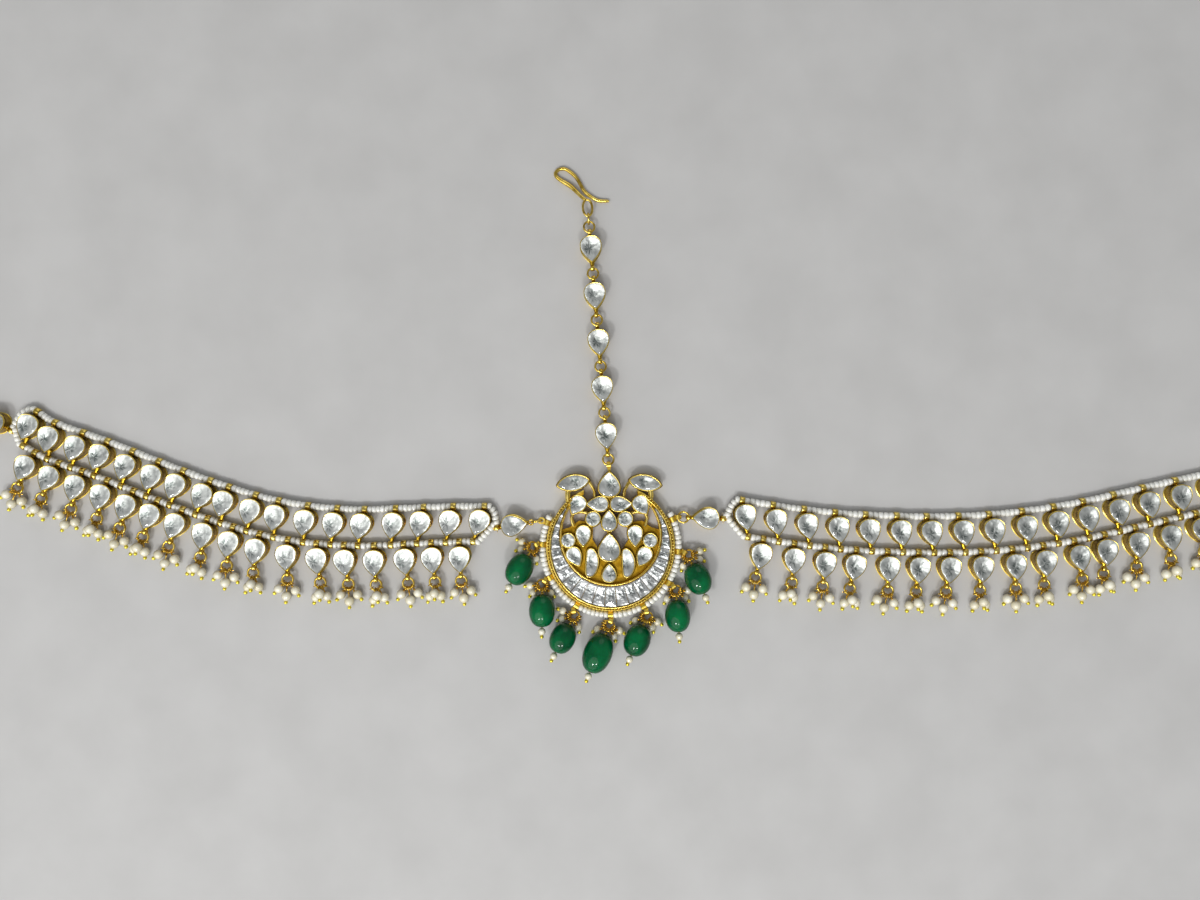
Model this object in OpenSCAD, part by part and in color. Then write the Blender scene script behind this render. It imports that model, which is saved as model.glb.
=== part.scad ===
// Matha patti: an Indian head ornament laid flat, as it is stored.
// A crescent pendant with green drops hangs on a centre chain that ends in a hair hook.
// On each side a connector carries one seed pearl string, doubled back on itself, and two
// rows of pear settings ride on that string. Origin: centre of the crescent, on the surface.

/* [Pear settings] */
// Outside width of a pear setting
setting_w = 6.5; // [5.9:0.1:6.7]
// Outside length of a pear setting
setting_l = 8; // [7.2:0.1:8.6]
// Height of a pear setting
setting_h = 4; // [3.4:0.1:4.6]
// Width of the gold edge round a stone
bezel = 0.4; // [0.3:0.05:0.55]
// Gap between a stone and its setting
stone_gap = 0.1; // [0.06:0.01:0.14]
// Depth of the pocket for a stone
pocket_depth = 1.4; // [1:0.1:1.8]
// Height of a stone above its setting
stone_rise = 0.9; // [0.5:0.1:1.3]

/* [Strings and eyelets] */
// Diameter of a seed pearl string, as a plain tube
string_d = 1.5; // [1.3:0.05:1.6]
// Height of the strings above the surface
string_z = 1.3; // [1.2:0.05:1.6]
// Gap round a string in an eyelet
string_gap = 0.15; // [0.12:0.01:0.2]
// Wall of an eyelet
eyelet_wall = 0.25; // [0.2:0.05:0.35]
// Length of an eyelet
eyelet_l = 1.5; // [1.2:0.1:1.8]
// Length of the stem between a setting's tip and its eyelet
stem_l = 0.8; // [0.5:0.1:1.1]

/* [Rings and eyes] */
// Radius of a jump ring at the middle of its wire
ring_r = 1.6; // [1.5:0.05:1.75]
// Diameter of the ring wire
ring_wire = 0.6; // [0.5:0.05:0.7]
// Gap round the ring wire in an eye
eye_gap = 0.25; // [0.2:0.01:0.3]
// Wall of an eye
eye_wall = 0.5; // [0.4:0.05:0.6]
// Width of an eye along its hole
eye_t = 1.2; // [1:0.1:1.4]
// Width of a bead pin's eye, and of the eye that carries a hook
narrow_eye_t = 0.6; // [0.5:0.05:0.7]
// Height of the eyes and rings above the surface
link_z = 1.95; // [1.95:0.05:2.2]
// Length of the stem between a setting's tip and its eye
eye_stem_l = 0.4; // [0.2:0.1:0.7]

/* [Strands] */
// Spacing of the settings along the left string
left_pitch = 8.2; // [8:0.05:8.4]
// Spacing of the settings along the right string
right_pitch = 9.3; // [9:0.05:9.5]
// Distance from the last setting's middle to the end connector
end_gap = 5.6; // [5.4:0.1:6.4]

/* [Pearl drops] */
// Diameter of a pearl in a small drop
pearl_d = 2.9; // [2.5:0.1:3]
// Distance from the ring's centre to the middle pearl
pearl_reach = 5; // [4.7:0.1:5.4]
// Diameter of the ball on a headpin
ball_d = 0.9; // [0.7:0.05:1]
// Diameter of a headpin
pin_d = 0.5; // [0.4:0.05:0.55]

/* [Centre chain] */
// Lean of the centre chain to the left, in degrees
chain_lean = 4.7; // [0:0.1:8]
// Length of the stems on a chain setting
chain_stem_l = 0.6; // [0.4:0.1:0.9]

/* [Hooks] */
// Width of the hook wire
hook_wire = 1; // [0.8:0.05:1.1]
// Wire diameter of a hook's eye
hook_eye_wire = 0.7; // [0.6:0.05:0.75]
// Outside width of a hook's eye
hook_eye_w = 3.5; // [3.3:0.1:4]
// Outside length of a hook's eye
hook_eye_l = 5.6; // [5:0.1:6.2]

/* [Pendant] */
// Outside radius of the crescent
chand_r = 18.8; // [18.4:0.1:19]
// Width of the crescent's outer rim
rim_w = 1; // [0.8:0.1:1.2]
// Width of the crescent at its lowest point
band_w = 7.9; // [7.5:0.1:8.1]
// Height of the open circle's centre above the crescent's
bow_rise = 3.6; // [3.4:0.1:3.8]
// Width of the crescent's inner rim
inner_rim_w = 0.6; // [0.5:0.1:0.8]
// Height of the pendant's rims and bezels
rim_h = 3.2; // [2.8:0.1:3.6]
// Thickness of the pierced plate
plate_t = 1.3; // [1:0.1:1.6]
// Height of the pockets' floor in the pendant
floor_h = 1.9; // [1.7:0.05:2.1]
// Height of the pendant's stones above the bezels
pendant_rise = 0.7; // [0.4:0.1:1]
// Number of baguettes in the crescent
baguettes = 23; // [19:1:27]
// Width of the base flange under the seed pearls
flange_w = 0.4; // [0.3:0.05:0.4]
// Distance of the pearl string from the outer rim
string_out = 1.5; // [1.4:0.05:1.8]

/* [Green drops] */
// Width of a green bead
bead_w = 7.8; // [7.2:0.1:8.2]
// Length of a green bead
bead_l = 9.6; // [9:0.1:10]
// Diameter of a small pearl over a green bead
cluster_pearl_d = 2.4; // [2.1:0.1:2.5]
// Distance of those pearls from the centre of their ring
cluster_reach = 3.6; // [3.5:0.1:3.8]
// Tilt of the ring that carries a green bead, in degrees
ring_tilt = 27; // [24:1:30]
// Gap between a bead and the loop of its pin
bead_gap = 0.15; // [0.1:0.01:0.25]
// Diameter of the hole through a green bead
bead_bore = 0.9; // [0.8:0.05:1]
// Diameter of the pearl under a green bead
tip_pearl_d = 2.2; // [1.9:0.1:2.4]

/* [Hidden] */
gold = "#d2a53c";
crystal = "#e3e8e6";
pearl = "#f2eee0";
emerald = "#0a6b3c";
sink = 0.12;
faces_round = 48;

// Sizes that follow from the ones above
eyelet_bore = string_d + 2 * string_gap;
eyelet_r = eyelet_bore / 2 + eyelet_wall;
eye_hole = ring_wire + 2 * eye_gap;
eye_r = eye_hole / 2 + eye_wall;
head_reach = setting_l / 2 + eyelet_r - sink;
tail_reach = setting_l / 2 + stem_l + eyelet_r;
eye_reach = setting_l / 2 + eye_stem_l + eye_hole / 2;
chain_reach = setting_l / 2 + chain_stem_l + eye_hole / 2 + 0.2;
string_r = chand_r + string_out;
lug_eye_r = string_r + eyelet_r + eye_hole / 2;
bow_r = chand_r + bow_rise - band_w;
link_gap = 0.15;

// The pendant's tables are drawn for this outside radius, and follow the real one
drawn_r = 18.8;
fan = chand_r / drawn_r;

// Outlines, by kind: 0 pear with its tip down, 1 round, 2 leaf, 3 bean
PEAR = 0;
ROUND = 1;
LEAF = 2;
BEAN = 3;
wall_sides = 24;
stone_sides = 12;

// Pendant stones on the right half, mirrored to the left: kind, x, y, width, length, turn
paired_stones = [
    [LEAF, 10.7, 19.2, 4.7, 9.8, -10],
    [PEAR, 9.6, 12.5, 5, 6.2, 30],
    [PEAR, 3.5, 12.9, 4.6, 6.6, 90],
    [ROUND, 4.8, 8.5, 4.5, 4.5, 0],
    [ROUND, 12.2, 2.1, 4.3, 4.3, 0],
    [PEAR, 7.7, 3.4, 4.6, 6.4, 0],
    [PEAR, 10.2, -2.8, 4.6, 6.2, -28],
    [BEAN, 5.4, -4.6, 3.8, 8.6, 3]
];
// Pendant stones on the middle line: kind, x, y, width, length, turn
middle_stones = [
    [PEAR, 0, 18.7, 6.6, 7.6, 180],
    [PEAR, 0, 8, 4.7, 6.4, 180],
    [PEAR, 0, 0, 6.6, 8.4, 180],
    [PEAR, 0, -7.6, 4.4, 5.6, 180]
];
// Gold wires of the pierced work on the right half: width, then the points they follow
wires = [
    [1.4, [[12.2, 17.6], [12.4, 15.6], [12.2, 13.4]]],
    [0.8, [[6.8, 20.4], [5.6, 18.8], [4.5, 16.8], [4.3, 14.6]]],
    [1, [[6, 12.9], [8, 12.9]]],
    [0.9, [[6.2, 10], [8.2, 10.5], [10, 10.2]]],
    [0.9, [[10.4, 10.4], [11.3, 8.6], [10.6, 6.2]]],
    [1.2, [[5, 7.4], [6, 5.8]]],
    [1.4, [[1.8, 8.2], [3.2, 8.4]]]
];
// Gold wires on the middle line
middle_wires = [
    [1.2, [[0, 5.4], [0, 3.4]]],
    [1.8, [[0, 13], [0, 15.8]]],
    [1.4, [[0, 10.4], [0, 12]]]
];
// Upper edge of the closed plate on the right half
plate_edge = [
    [0, -18], [18, -18], [18, 3.4], [14.2, 5.2], [12.2, 5.8], [9.4, 7.8], [6.4, 7.4], [5.2, 5.6],
    [5.4, 2.2], [3.6, -0.6], [0, -0.6]
];
// The rim ends where the leaves begin
horn_x = 8;
horn_y = 10;
channel_top = 12.4;
// The fan of stones and the crown sit a little to the left, as set by hand
fan_shift = -0.4;

// Lugs on the rim that carry the string and a side ring, as angles
side_lugs = [159, 384];
side_turns = [189, -2];
// Green drops: angle on the rim, direction of the ring, direction of the bead, shares of a bead's sizes
drops = [
    [178, 213, 239, 1, 1],
    [207, 237, 270, 1, 1],
    [240, 275, 243, 0.97, 0.94],
    [270, 250, 247, 1.1, 1.23],
    [299, 275, 247, 1, 0.98],
    [328, 300, 274, 0.97, 0.98],
    [356, 326, 292, 1, 0.98]
];
// Pearls over a green bead: angle from the bead's direction, on its outer side
cluster_turns = [46, 84, -44];
// Length of pearl string that stands past the last lug, as an angle
string_end = 7;
string_steps = 3;
wire_h = 2.4;

// Middle runs of the two strings, from the pendant outwards
left_route = [
    [-41, 1.6], [-57, 1], [-74, 0.3], [-92, 1.4], [-108, 4.6], [-124, 9.7], [-139, 15.3],
    [-154, 21.2], [-168, 26.2], [-176, 30.6]
];
right_route = [
    [41, 3], [50, 1.6], [68, -0.6], [87, -1.6], [106, -1.6], [124, -0.3], [142, 2.5],
    [161, 6.8], [182, 11.6]
];
// Upper settings: slip along the string in pitches, lean to the right in degrees
left_upper = [
    [0, 18], [0, 12], [0.05, 11], [0, 8], [0.2, 11], [0.2, 11], [0.2, 8], [0.3, 9], [0.3, 15],
    [0.3, 14], [0.25, 24], [0.25, 22], [0.15, 20], [0.15, 19], [0.2, 22], [0.1, 20], [0, 12], [0, 22]
];
right_upper = [
    [0, -9], [0, -9], [0, -9], [0, -9], [0, -10], [0, -10], [0, -12], [0, -11], [0, -12],
    [0, -9], [0, -8], [0, -10], [0, -10], [0, -11], [0, -8], [0, -4]
];
// Lower settings: direction they hang in, in degrees to the right of straight down
left_lower = [3, 6, 7, 3, 7, 6, 0, -9, -9, -10, -20, -22, -20, -15, -16, -26, -26];
right_lower = [-12, -4, -4, -10, 0, -4, -6, -2, 5, 1, 12, -2, 2, 8, 12];
// How far each small drop swings from its setting's direction, used in turn
swings = [3, -4, 1, 4, -3, 0, -4, 3];
// Pearls of a small drop, side by side or heaped in turn: angle, share of the reach, layer
drop_pearls = [
    [[-38, 0.8, 0], [0, 1.04, 0], [38, 0.82, 0]],
    [[-21, 0.92, 0], [20, 0.9, 0], [2, 0.62, 1]]
];

// Rise of a heaped pearl, as a share of its diameter
heap_share = 0.85;

// End connectors: direction of their eyelet from the last setting, direction they point in
left_end = [185, 150];
right_end = [14, 14];

// Hook, from its eye outwards, as a plain list of points with heights
hook_route = [
    [-0.4, 2.4, 0], [-1.6, 3.6, -0.3], [-4.4, 7, -1.2], [-7, 9, -1.4], [-8.5, 10.4, -1.4],
    [-8.7, 11.5, -1.4], [-7.6, 12.5, -1.4], [-5.8, 12.5, -1.4], [-4, 11.2, -1.4], [-2.6, 9.6, -1.4],
    [-1.6, 7.6, -1.4], [-0.6, 5.5, -1.4], [0.9, 3.9, -1.4], [3.3, 2.3, -1.4], [6.2, 1.9, -1.4]
];

green_names = [for (i = [1:len(drops)]) str("green_bead_", i)];
pin_names = [for (i = [1:len(drops)]) str("bead_pin_", i)];
chain_links = 5;
chain_names = [for (i = [1:chain_links]) str("chain_setting_", i)];
chain_stone_names = [for (i = [1:chain_links]) str("chain_stone_", i)];

// Directions and outlines
function dir(a) = [cos(a), sin(a)];
function lifted(p, z) = [p.x, p.y, z];
function soft(v, e) = sign(v) * pow(abs(v), e);
function turn_points(n) = [for (i = [0:n - 1]) 360 * i / n];

pear_share = 3 * sqrt(3) / 4;
function outline(kind, w, l, n) =
    kind == PEAR ? [for (t = turn_points(n)) [w / 2 * pear_share * sin(t) * sin(t / 2), -l / 2 * cos(t)]] :
    kind == ROUND ? [for (t = turn_points(n)) w / 2 * dir(t)] :
    kind == LEAF ? [for (t = turn_points(n)) [l / 2 * cos(t), w / 2 * soft(sin(t), 1.5)]] :
    [for (t = turn_points(n)) [w / 2 * soft(cos(t), 0.8) + w / 5 * pow(cos(t), 2) - w / 10, l / 2 * sin(t)]];

// Growth of an outline's length for one of its width, so that its wall stays even
tip_growth = [1.2, 1, 1.6, 1];
function grown(kind, w, l, grow, n) =
    [for (p = outline(kind, w + 2 * grow, l + 2 * grow * tip_growth[kind], n))
        kind == PEAR ? p - [0, grow * (tip_growth[PEAR] - 1)] : p];

// Smooth line through chosen points, and places along it
function blend(a, b, c, d, t) =
    (2 * b + (c - a) * t + (2 * a - 5 * b + 4 * c - d) * t * t + (3 * b - a - 3 * c + d) * t * t * t) / 2;
function smooth(p, steps) = let (last = len(p) - 1) concat(
    [for (i = [0:last - 1]) for (k = [0:steps - 1])
        blend(p[max(i - 1, 0)], p[i], p[i + 1], p[min(i + 2, last)], k / steps)],
    [p[last]]
);
function lengths(p) = [
    for (i = 0, s = 0; i < len(p); s = s + (i < len(p) - 1 ? norm(p[i + 1] - p[i]) : 0), i = i + 1) s
];
function along(line, s) = let (run = lengths(line)) [
    lookup(s, [for (i = [0:len(line) - 1]) [run[i], line[i].x]]),
    lookup(s, [for (i = [0:len(line) - 1]) [run[i], line[i].y]])
];

// Solid through a list of rings, open with two caps or closed on itself
module loft(rings, closed = false) {
    n = len(rings[0]);
    m = len(rings);
    sides = [for (k = [0:closed ? m - 1 : m - 2]) for (i = [0:n - 1])
        [k * n + i, (k + 1) % m * n + i, (k + 1) % m * n + (i + 1) % n, k * n + (i + 1) % n]];
    caps = closed ? [] : [[for (i = [0:n - 1]) i], [for (i = [n - 1:-1:0]) (m - 1) * n + i]];
    polyhedron([for (r = rings) for (p = r) p], concat(sides, caps));
}

// Tube along points in space, an octagon or hexagon across
module tube(points, d, n, closed = false, flat = 1) {
    m = len(points);
    loft([for (k = [0:m - 1]) let (
        before = closed ? points[(k + m - 1) % m] : points[max(k - 1, 0)],
        after = closed ? points[(k + 1) % m] : points[min(k + 1, m - 1)],
        across = dir(atan2(after.y - before.y, after.x - before.x) + 90)
    ) [for (t = turn_points(n)) points[k] + d / 2 * lifted(cos(t) * across, flat * sin(t))]],
        closed);
}

module rod(from, to, d) {
    v = to - from;
    translate(from) rotate([0, acos(v.z / norm(v)), atan2(v.y, v.x)]) cylinder(h = norm(v), d = d, $fn = 24);
}

// Cut stone: flat back, girdle, one row of crown facets and a table
module cut_stone(kind, w, l, grow, seat, rise) {
    girdle = grown(kind, w, l, grow, stone_sides);
    loft([for (level = [[0.93, 0], [1, seat], [0.54, seat + rise]])
        [for (p = girdle) lifted(p * level[0], level[1])]]);
}

module outline_2d(kind, w, l, grow = 0) {
    if (kind == ROUND) circle(d = w + 2 * grow, $fn = faces_round);
    else polygon(grown(kind, w, l, grow, wall_sides));
}

// Fittings of a setting, on its own middle line at y
module eyelet_at(y, turn = 0) {
    translate([0, y, string_z]) rotate([0, 90, turn])
        cylinder(h = eyelet_l, r = eyelet_r, center = true, $fn = faces_round);
}
module eyelet_bore_at(y, turn = 0) {
    translate([0, y, string_z]) rotate([0, 90, turn])
        cylinder(h = eyelet_l + 2, d = eyelet_bore, center = true, $fn = faces_round);
}
module eye_at(y, flat = false, width = eye_t) {
    translate([0, y, link_z]) rotate([0, flat ? 0 : 90, 0])
        cylinder(h = width, r = eye_r, center = true, $fn = faces_round);
}
module eye_bore_at(y, flat = false) {
    translate([0, y, link_z]) rotate([0, flat ? 0 : 90, 0])
        cylinder(h = eye_t + 2, d = eye_hole, center = true, $fn = faces_round);
}
// Stem between two heights of the middle line
foot_w = 0.9;
module foot(y_from, y_to, z) {
    translate([-foot_w / 2, min(y_from, y_to), z - foot_w / 2]) cube([foot_w, abs(y_to - y_from), foot_w]);
}

// One pear setting, tip down. Each end has an eyelet for a string or an eye for a ring.
module pear_setting(head, head_y, tail, tail_y, head_turn = 0, tail_turn = 0, flat = false, hold = eye_t) {
    tip = -setting_l / 2;
    difference() {
        union() {
            linear_extrude(setting_h) outline_2d(PEAR, setting_w, setting_l);
            if (head == "eyelet") eyelet_at(head_y, head_turn);
            if (head == "eye") eye_at(head_y);
            foot(-tip - 0.5, head_y - (head == "eye" ? eye_hole / 2 : 0), head == "eye" ? link_z : string_z);
            if (tail == "eyelet") eyelet_at(-tail_y, tail_turn);
            if (tail == "eye") eye_at(-tail_y, flat, hold);
            foot(tip + 1, -tail_y + (tail == "eye" ? eye_hole / 2 : 0), tail == "eye" ? link_z : string_z);
        }
        translate([0, 0, setting_h - pocket_depth])
            linear_extrude(pocket_depth + 1) outline_2d(PEAR, setting_w, setting_l, -bezel);
        if (head == "eyelet") eyelet_bore_at(head_y, head_turn);
        if (head == "eye") eye_bore_at(head_y);
        if (tail == "eyelet") eyelet_bore_at(-tail_y, tail_turn);
        if (tail == "eye") eye_bore_at(-tail_y, flat);
    }
}
module pear_stone() {
    translate([0, 0, setting_h - pocket_depth + stone_gap])
        cut_stone(PEAR, setting_w, setting_l, -bezel - stone_gap, pocket_depth - stone_gap, stone_rise);
}

// Rings and pins
module jump_ring() {
    rotate_extrude($fn = faces_round) translate([ring_r, 0]) circle(d = ring_wire, $fn = 24);
}
module headpin(from, pearl_at, d) {
    run = [pearl_at.x - from.x, pearl_at.y - from.y];
    rod(from, pearl_at, pin_d);
    translate(pearl_at) sphere(d = d, $fn = faces_round);
    translate(pearl_at + lifted(run / norm(run), 0) * (d / 2 + ball_d / 3)) sphere(d = ball_d, $fn = 24);
}

// A strand: side is 1 for the right one and -1 for the left one
function pick(side, left, right) = side < 0 ? left : right;
left_line = smooth(left_route, 8);
right_line = smooth(right_route, 8);
function spot(side, i) = let (rows = pick(side, left_upper, right_upper), k = floor(i), f = i - k)
    along(pick(side, left_line, right_line), pick(side, left_pitch, right_pitch)
        * (i + rows[k][0] * (1 - f) + rows[min(k + 1, len(rows) - 1)][0] * f));
left_tails = [for (i = [0:len(left_upper) - 1]) spot(-1, i)];
right_tails = [for (i = [0:len(right_upper) - 1]) spot(1, i)];
left_hangers = [for (i = [0:len(left_lower) - 1]) spot(-1, i + 0.5)];
right_hangers = [for (i = [0:len(right_lower) - 1]) spot(1, i + 0.5)];
function head_of(tail, lean) = tail + (tail_reach + head_reach) * dir(90 - lean);
left_heads = [for (i = [0:len(left_upper) - 1]) head_of(left_tails[i], left_upper[i][1])];
right_heads = [for (i = [0:len(right_upper) - 1]) head_of(right_tails[i], right_upper[i][1])];

// Connectors: their eyelets near the pendant and at the far end
near_stem_l = 0.3;
near_reach = setting_l / 2 + eyelet_r + near_stem_l;
function side_i(side) = side < 0 ? 0 : 1;
function side_eye(side) = lug_eye_r * dir(side_lugs[side_i(side)]);
function near_middle(side) = side_eye(side) + (2 * ring_r + eye_reach) * dir(side_turns[side_i(side)]);
function near_eyelet(side) = near_middle(side) + near_reach * dir(side_turns[side_i(side)]);
function far_eyelet(side) = let (
    tails = pick(side, left_tails, right_tails),
    heads = pick(side, left_heads, right_heads),
    end = pick(side, left_end, right_end),
    last = len(tails) - 1
) (tails[last] + heads[last]) / 2 + end_gap * dir(end[0]);
function far_turn(side) = pick(side, left_end, right_end)[1];
function far_middle(side) = far_eyelet(side) + near_reach * dir(far_turn(side));
function far_eye(side) = far_middle(side) + eye_reach * dir(far_turn(side));

// The doubled string: out along the middle run, back along the top run
hug_gap = 0.3;
near_hugs = [50, 26];
far_hugs = [78, 52, 26];
function through_eyelet(p, turn) = let (reach = (eyelet_l + string_d) / 2 * dir(turn)) [p + reach, p - reach];
// Place beside the round end of an upper setting, where the string passes it
function beside(tail, lean, turn) = tail + (tail_reach + setting_l / 8) * dir(90 - lean)
    + (setting_w * 0.53 + string_d / 2 + hug_gap) * dir(90 - lean + turn);
function top_spot(heads, i) = (heads[floor(i / 2)] + heads[ceil(i / 2)]) / 2;
function string_points(side) = let (
    tails = pick(side, left_tails, right_tails),
    heads = pick(side, left_heads, right_heads),
    rows = pick(side, left_upper, right_upper),
    last = len(tails) - 1,
    end = 2 * last,
    inward = 90 + 90 * side,
    flat = concat(
        through_eyelet(near_eyelet(side), side_turns[side_i(side)] + 90 * side),
        through_eyelet(tails[0], middle_turn(side, 0) + inward),
        [for (i = [1:end - 1]) middle_stop(side, i)],
        through_eyelet(tails[last], middle_turn(side, end) + inward),
        through_eyelet(far_eyelet(side), far_turn(side) - 90 * side),
        [for (t = far_hugs) beside(tails[last], rows[last][1], -side * t)],
        through_eyelet(heads[last], top_turn(side, last) - inward + 180),
        [for (i = [end - 1:-1:1]) top_spot(heads, i)],
        through_eyelet(heads[0], top_turn(side, 0) - inward + 180),
        [for (i = [len(near_hugs) - 1:-1:0]) beside(tails[0], rows[0][1], side * near_hugs[i])]
    )
) [for (p = flat) lifted(p, string_z)];
module strand_string(side) {
    color(pearl) tube(string_points(side), string_d, 8, closed = true);
}

// Direction of the string where it passes an eyelet
function string_turn(before, after, side) = atan2(side * (after.y - before.y), side * (after.x - before.x));
function middle_stop(side, i) = let (
    tails = pick(side, left_tails, right_tails),
    hangers = pick(side, left_hangers, right_hangers),
    last = len(tails) - 1
)
    i < 0 ? tails[0] * 2 - hangers[0] :
    i > 2 * last ? tails[last] * 2 - hangers[last - 1] :
    i % 2 == 0 ? tails[i / 2] : hangers[(i - 1) / 2];
function top_stop(side, i) = let (heads = pick(side, left_heads, right_heads), last = len(heads) - 1)
    i < 0 ? heads[0] * 2 - heads[1] :
    i > last ? heads[last] * 2 - heads[last - 1] :
    heads[i];
function middle_turn(side, i) = string_turn(middle_stop(side, i - 1), middle_stop(side, i + 1), side);
function top_turn(side, i) = string_turn(top_stop(side, i - 1), top_stop(side, i + 1), side);

module at_upper(side, i) {
    rows = pick(side, left_upper, right_upper);
    tail = pick(side, left_tails, right_tails)[i];
    translate(tail + tail_reach * dir(90 - rows[i][1])) rotate(-rows[i][1]) children();
}
module upper_settings(side) {
    rows = pick(side, left_upper, right_upper);
    for (i = [0:len(rows) - 1]) color(gold) at_upper(side, i)
        pear_setting("eyelet", head_reach, "eyelet", tail_reach,
            top_turn(side, i) + rows[i][1], middle_turn(side, 2 * i) + rows[i][1]);
}
module upper_stones(side) {
    for (i = [0:len(pick(side, left_upper, right_upper)) - 1]) color(crystal) at_upper(side, i) pear_stone();
}
module at_lower(side, i) {
    hang = pick(side, left_lower, right_lower)[i];
    hanger = pick(side, left_hangers, right_hangers)[i];
    translate(hanger + head_reach * dir(hang - 90)) rotate(hang) children();
}
module lower_settings(side) {
    rows = pick(side, left_lower, right_lower);
    for (i = [0:len(rows) - 1]) color(gold) at_lower(side, i)
        pear_setting("eyelet", head_reach, "eye", eye_reach, middle_turn(side, 2 * i + 1) - rows[i]);
}
module lower_stones(side) {
    for (i = [0:len(pick(side, left_lower, right_lower)) - 1]) color(crystal) at_lower(side, i) pear_stone();
}
// Turn of a drop that evens out its distance to the drops beside it
function even_turn(rows, i) = (rows[max(i - 1, 0)] + rows[min(i + 1, len(rows) - 1)]) / 2 - rows[i];
module pearl_drops(side) {
    rows = pick(side, left_lower, right_lower);
    for (i = [0:len(rows) - 1]) color(pearl) at_lower(side, i)
        translate([0, -eye_reach - ring_r]) rotate(even_turn(rows, i) + swings[i % len(swings)]) {
            translate([0, 0, link_z]) jump_ring();
            for (p = drop_pearls[i % len(drop_pearls)]) {
                way = dir(p[0] - 90);
                headpin(lifted(ring_r * way, link_z),
                    lifted(pearl_reach * p[1] * way, pearl_d * (1 + heap_share * 2 * p[2]) / 2), pearl_d);
            }
        }
}

module at_near(side) {
    translate(near_middle(side)) rotate(side_turns[side_i(side)] - 90) children();
}
module at_far(side) {
    translate(far_middle(side)) rotate(far_turn(side) + 90) children();
}
module inner_setting(side) {
    color(gold) at_near(side) pear_setting("eyelet", near_reach, "eye", eye_reach, flat = side < 0);
}
module inner_stone(side) {
    color(crystal) at_near(side) pear_stone();
}
module end_setting(side) {
    color(gold) at_far(side) pear_setting("eyelet", near_reach, "eye", eye_reach, hold = narrow_eye_t);
}
module end_stone(side) {
    color(crystal) at_far(side) pear_stone();
}
module side_rings() {
    for (side = [-1, 1]) color(gold)
        translate(lifted(side_eye(side) + ring_r * dir(side_turns[side_i(side)]), link_z))
            rotate([side < 0 ? 90 : 0, 0, side_turns[side_i(side)]]) jump_ring();
}

// Plain hook with a long eye; its origin is the wire at the near end of the eye
module hook() {
    eye_x = (hook_eye_w - hook_eye_wire) / 2;
    eye_y = (hook_eye_l - hook_eye_wire) / 2;
    color(gold) translate([0, eye_y, link_z]) {
        loop = [for (t = turn_points(14)) [eye_x * cos(t), eye_y * sin(t), 0]];
        tube(loop, hook_eye_wire, 6, closed = true);
        tube(smooth(hook_route, 2), hook_wire, 6, flat = 0.8);
    }
}
module end_hook(side) {
    translate(far_eye(side)) rotate(far_turn(side) - 90) hook();
}

// Centre chain
chain_way = dir(90 + chain_lean);
chain_pitch = 2 * (chain_reach + ring_r);
crown_stem = 2;
crown_tip = fan * [fan_shift, middle_stones[0][2] + middle_stones[0][4] / 2];
crown_eye = crown_tip + crown_stem * chain_way;
module at_chain(s) {
    translate(crown_eye + s * chain_way) rotate(chain_lean) children();
}
module chain_setting(i) {
    color(gold) at_chain(ring_r + (i + 0.5) * chain_pitch)
        pear_setting("eye", chain_reach, "eye", chain_reach);
}
module chain_stone(i) {
    color(crystal) at_chain(ring_r + (i + 0.5) * chain_pitch) pear_stone();
}
last_ring = ring_r + chain_links * chain_pitch;
upright_ring = last_ring + 2 * ring_r - ring_wire - link_gap;
hook_start = upright_ring + ring_r - (ring_wire + hook_eye_wire) / 2 - link_gap;
module chain_rings() {
    for (i = [0:chain_links]) color(gold)
        at_chain(ring_r + i * chain_pitch) translate([0, 0, link_z]) jump_ring();
    color(gold) at_chain(upright_ring) translate([0, 0, link_z]) rotate([0, 90, 0]) jump_ring();
}
module hair_hook() {
    at_chain(hook_start) hook();
}

// Pendant: the crescent, its pierced fan and crown
bow_at = [0, bow_rise];
channel_r = chand_r - rim_w;
channel_bow_r = bow_r + inner_rim_w;
flange_h = 1.6;
all_stones = concat(
    [for (row = middle_stones) row],
    [for (row = paired_stones) row],
    [for (row = paired_stones) [row[0], -row[1], row[2], row[3], row[4], (row[0] == LEAF ? 180 : 0) - row[5]]]
);
module below(y) {
    translate([-2 * chand_r, y - 4 * chand_r]) square(4 * chand_r);
}
module crescent_2d(outer, inner) {
    difference() {
        circle(r = outer, $fn = faces_round);
        translate(bow_at) circle(r = inner, $fn = faces_round);
        translate(fan * [-horn_x, horn_y]) square([2 * fan * horn_x, chand_r]);
    }
}
// Strip of even width along points
module ribbon(w, points) {
    last = len(points) - 1;
    ways = [for (i = [0:last]) points[min(i + 1, last)] - points[max(i - 1, 0)]];
    sides = [for (v = ways) [-v.y, v.x] / norm(v)];
    polygon(concat(
        [for (i = [0:last]) points[i] + sides[i] * w / 2],
        [for (i = [last:-1:0]) points[i] - sides[i] * w / 2]
    ));
}
module both_sides() {
    children();
    mirror([1, 0, 0]) children();
}
module placed(row) {
    translate(fan * [fan_shift + row[1], row[2]]) rotate(row[5]) children();
}
module stone_outlines(grow) {
    for (row = all_stones) placed(row) outline_2d(row[0], fan * row[3], fan * row[4], grow);
}
module lug(angle, ring_turn, flat) {
    rotate(angle) {
        translate([string_r, 0, string_z]) rotate([90, 0, 0])
            cylinder(h = eyelet_l, r = eyelet_r, center = true, $fn = faces_round);
        translate([channel_r + rim_w / 2, -foot_w / 2, string_z - foot_w / 2])
            cube([string_r - channel_r - rim_w / 2, foot_w, foot_w]);
    }
    translate(lug_eye_r * dir(angle)) rotate(ring_turn - 90) eye_at(0, flat);
}
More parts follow.
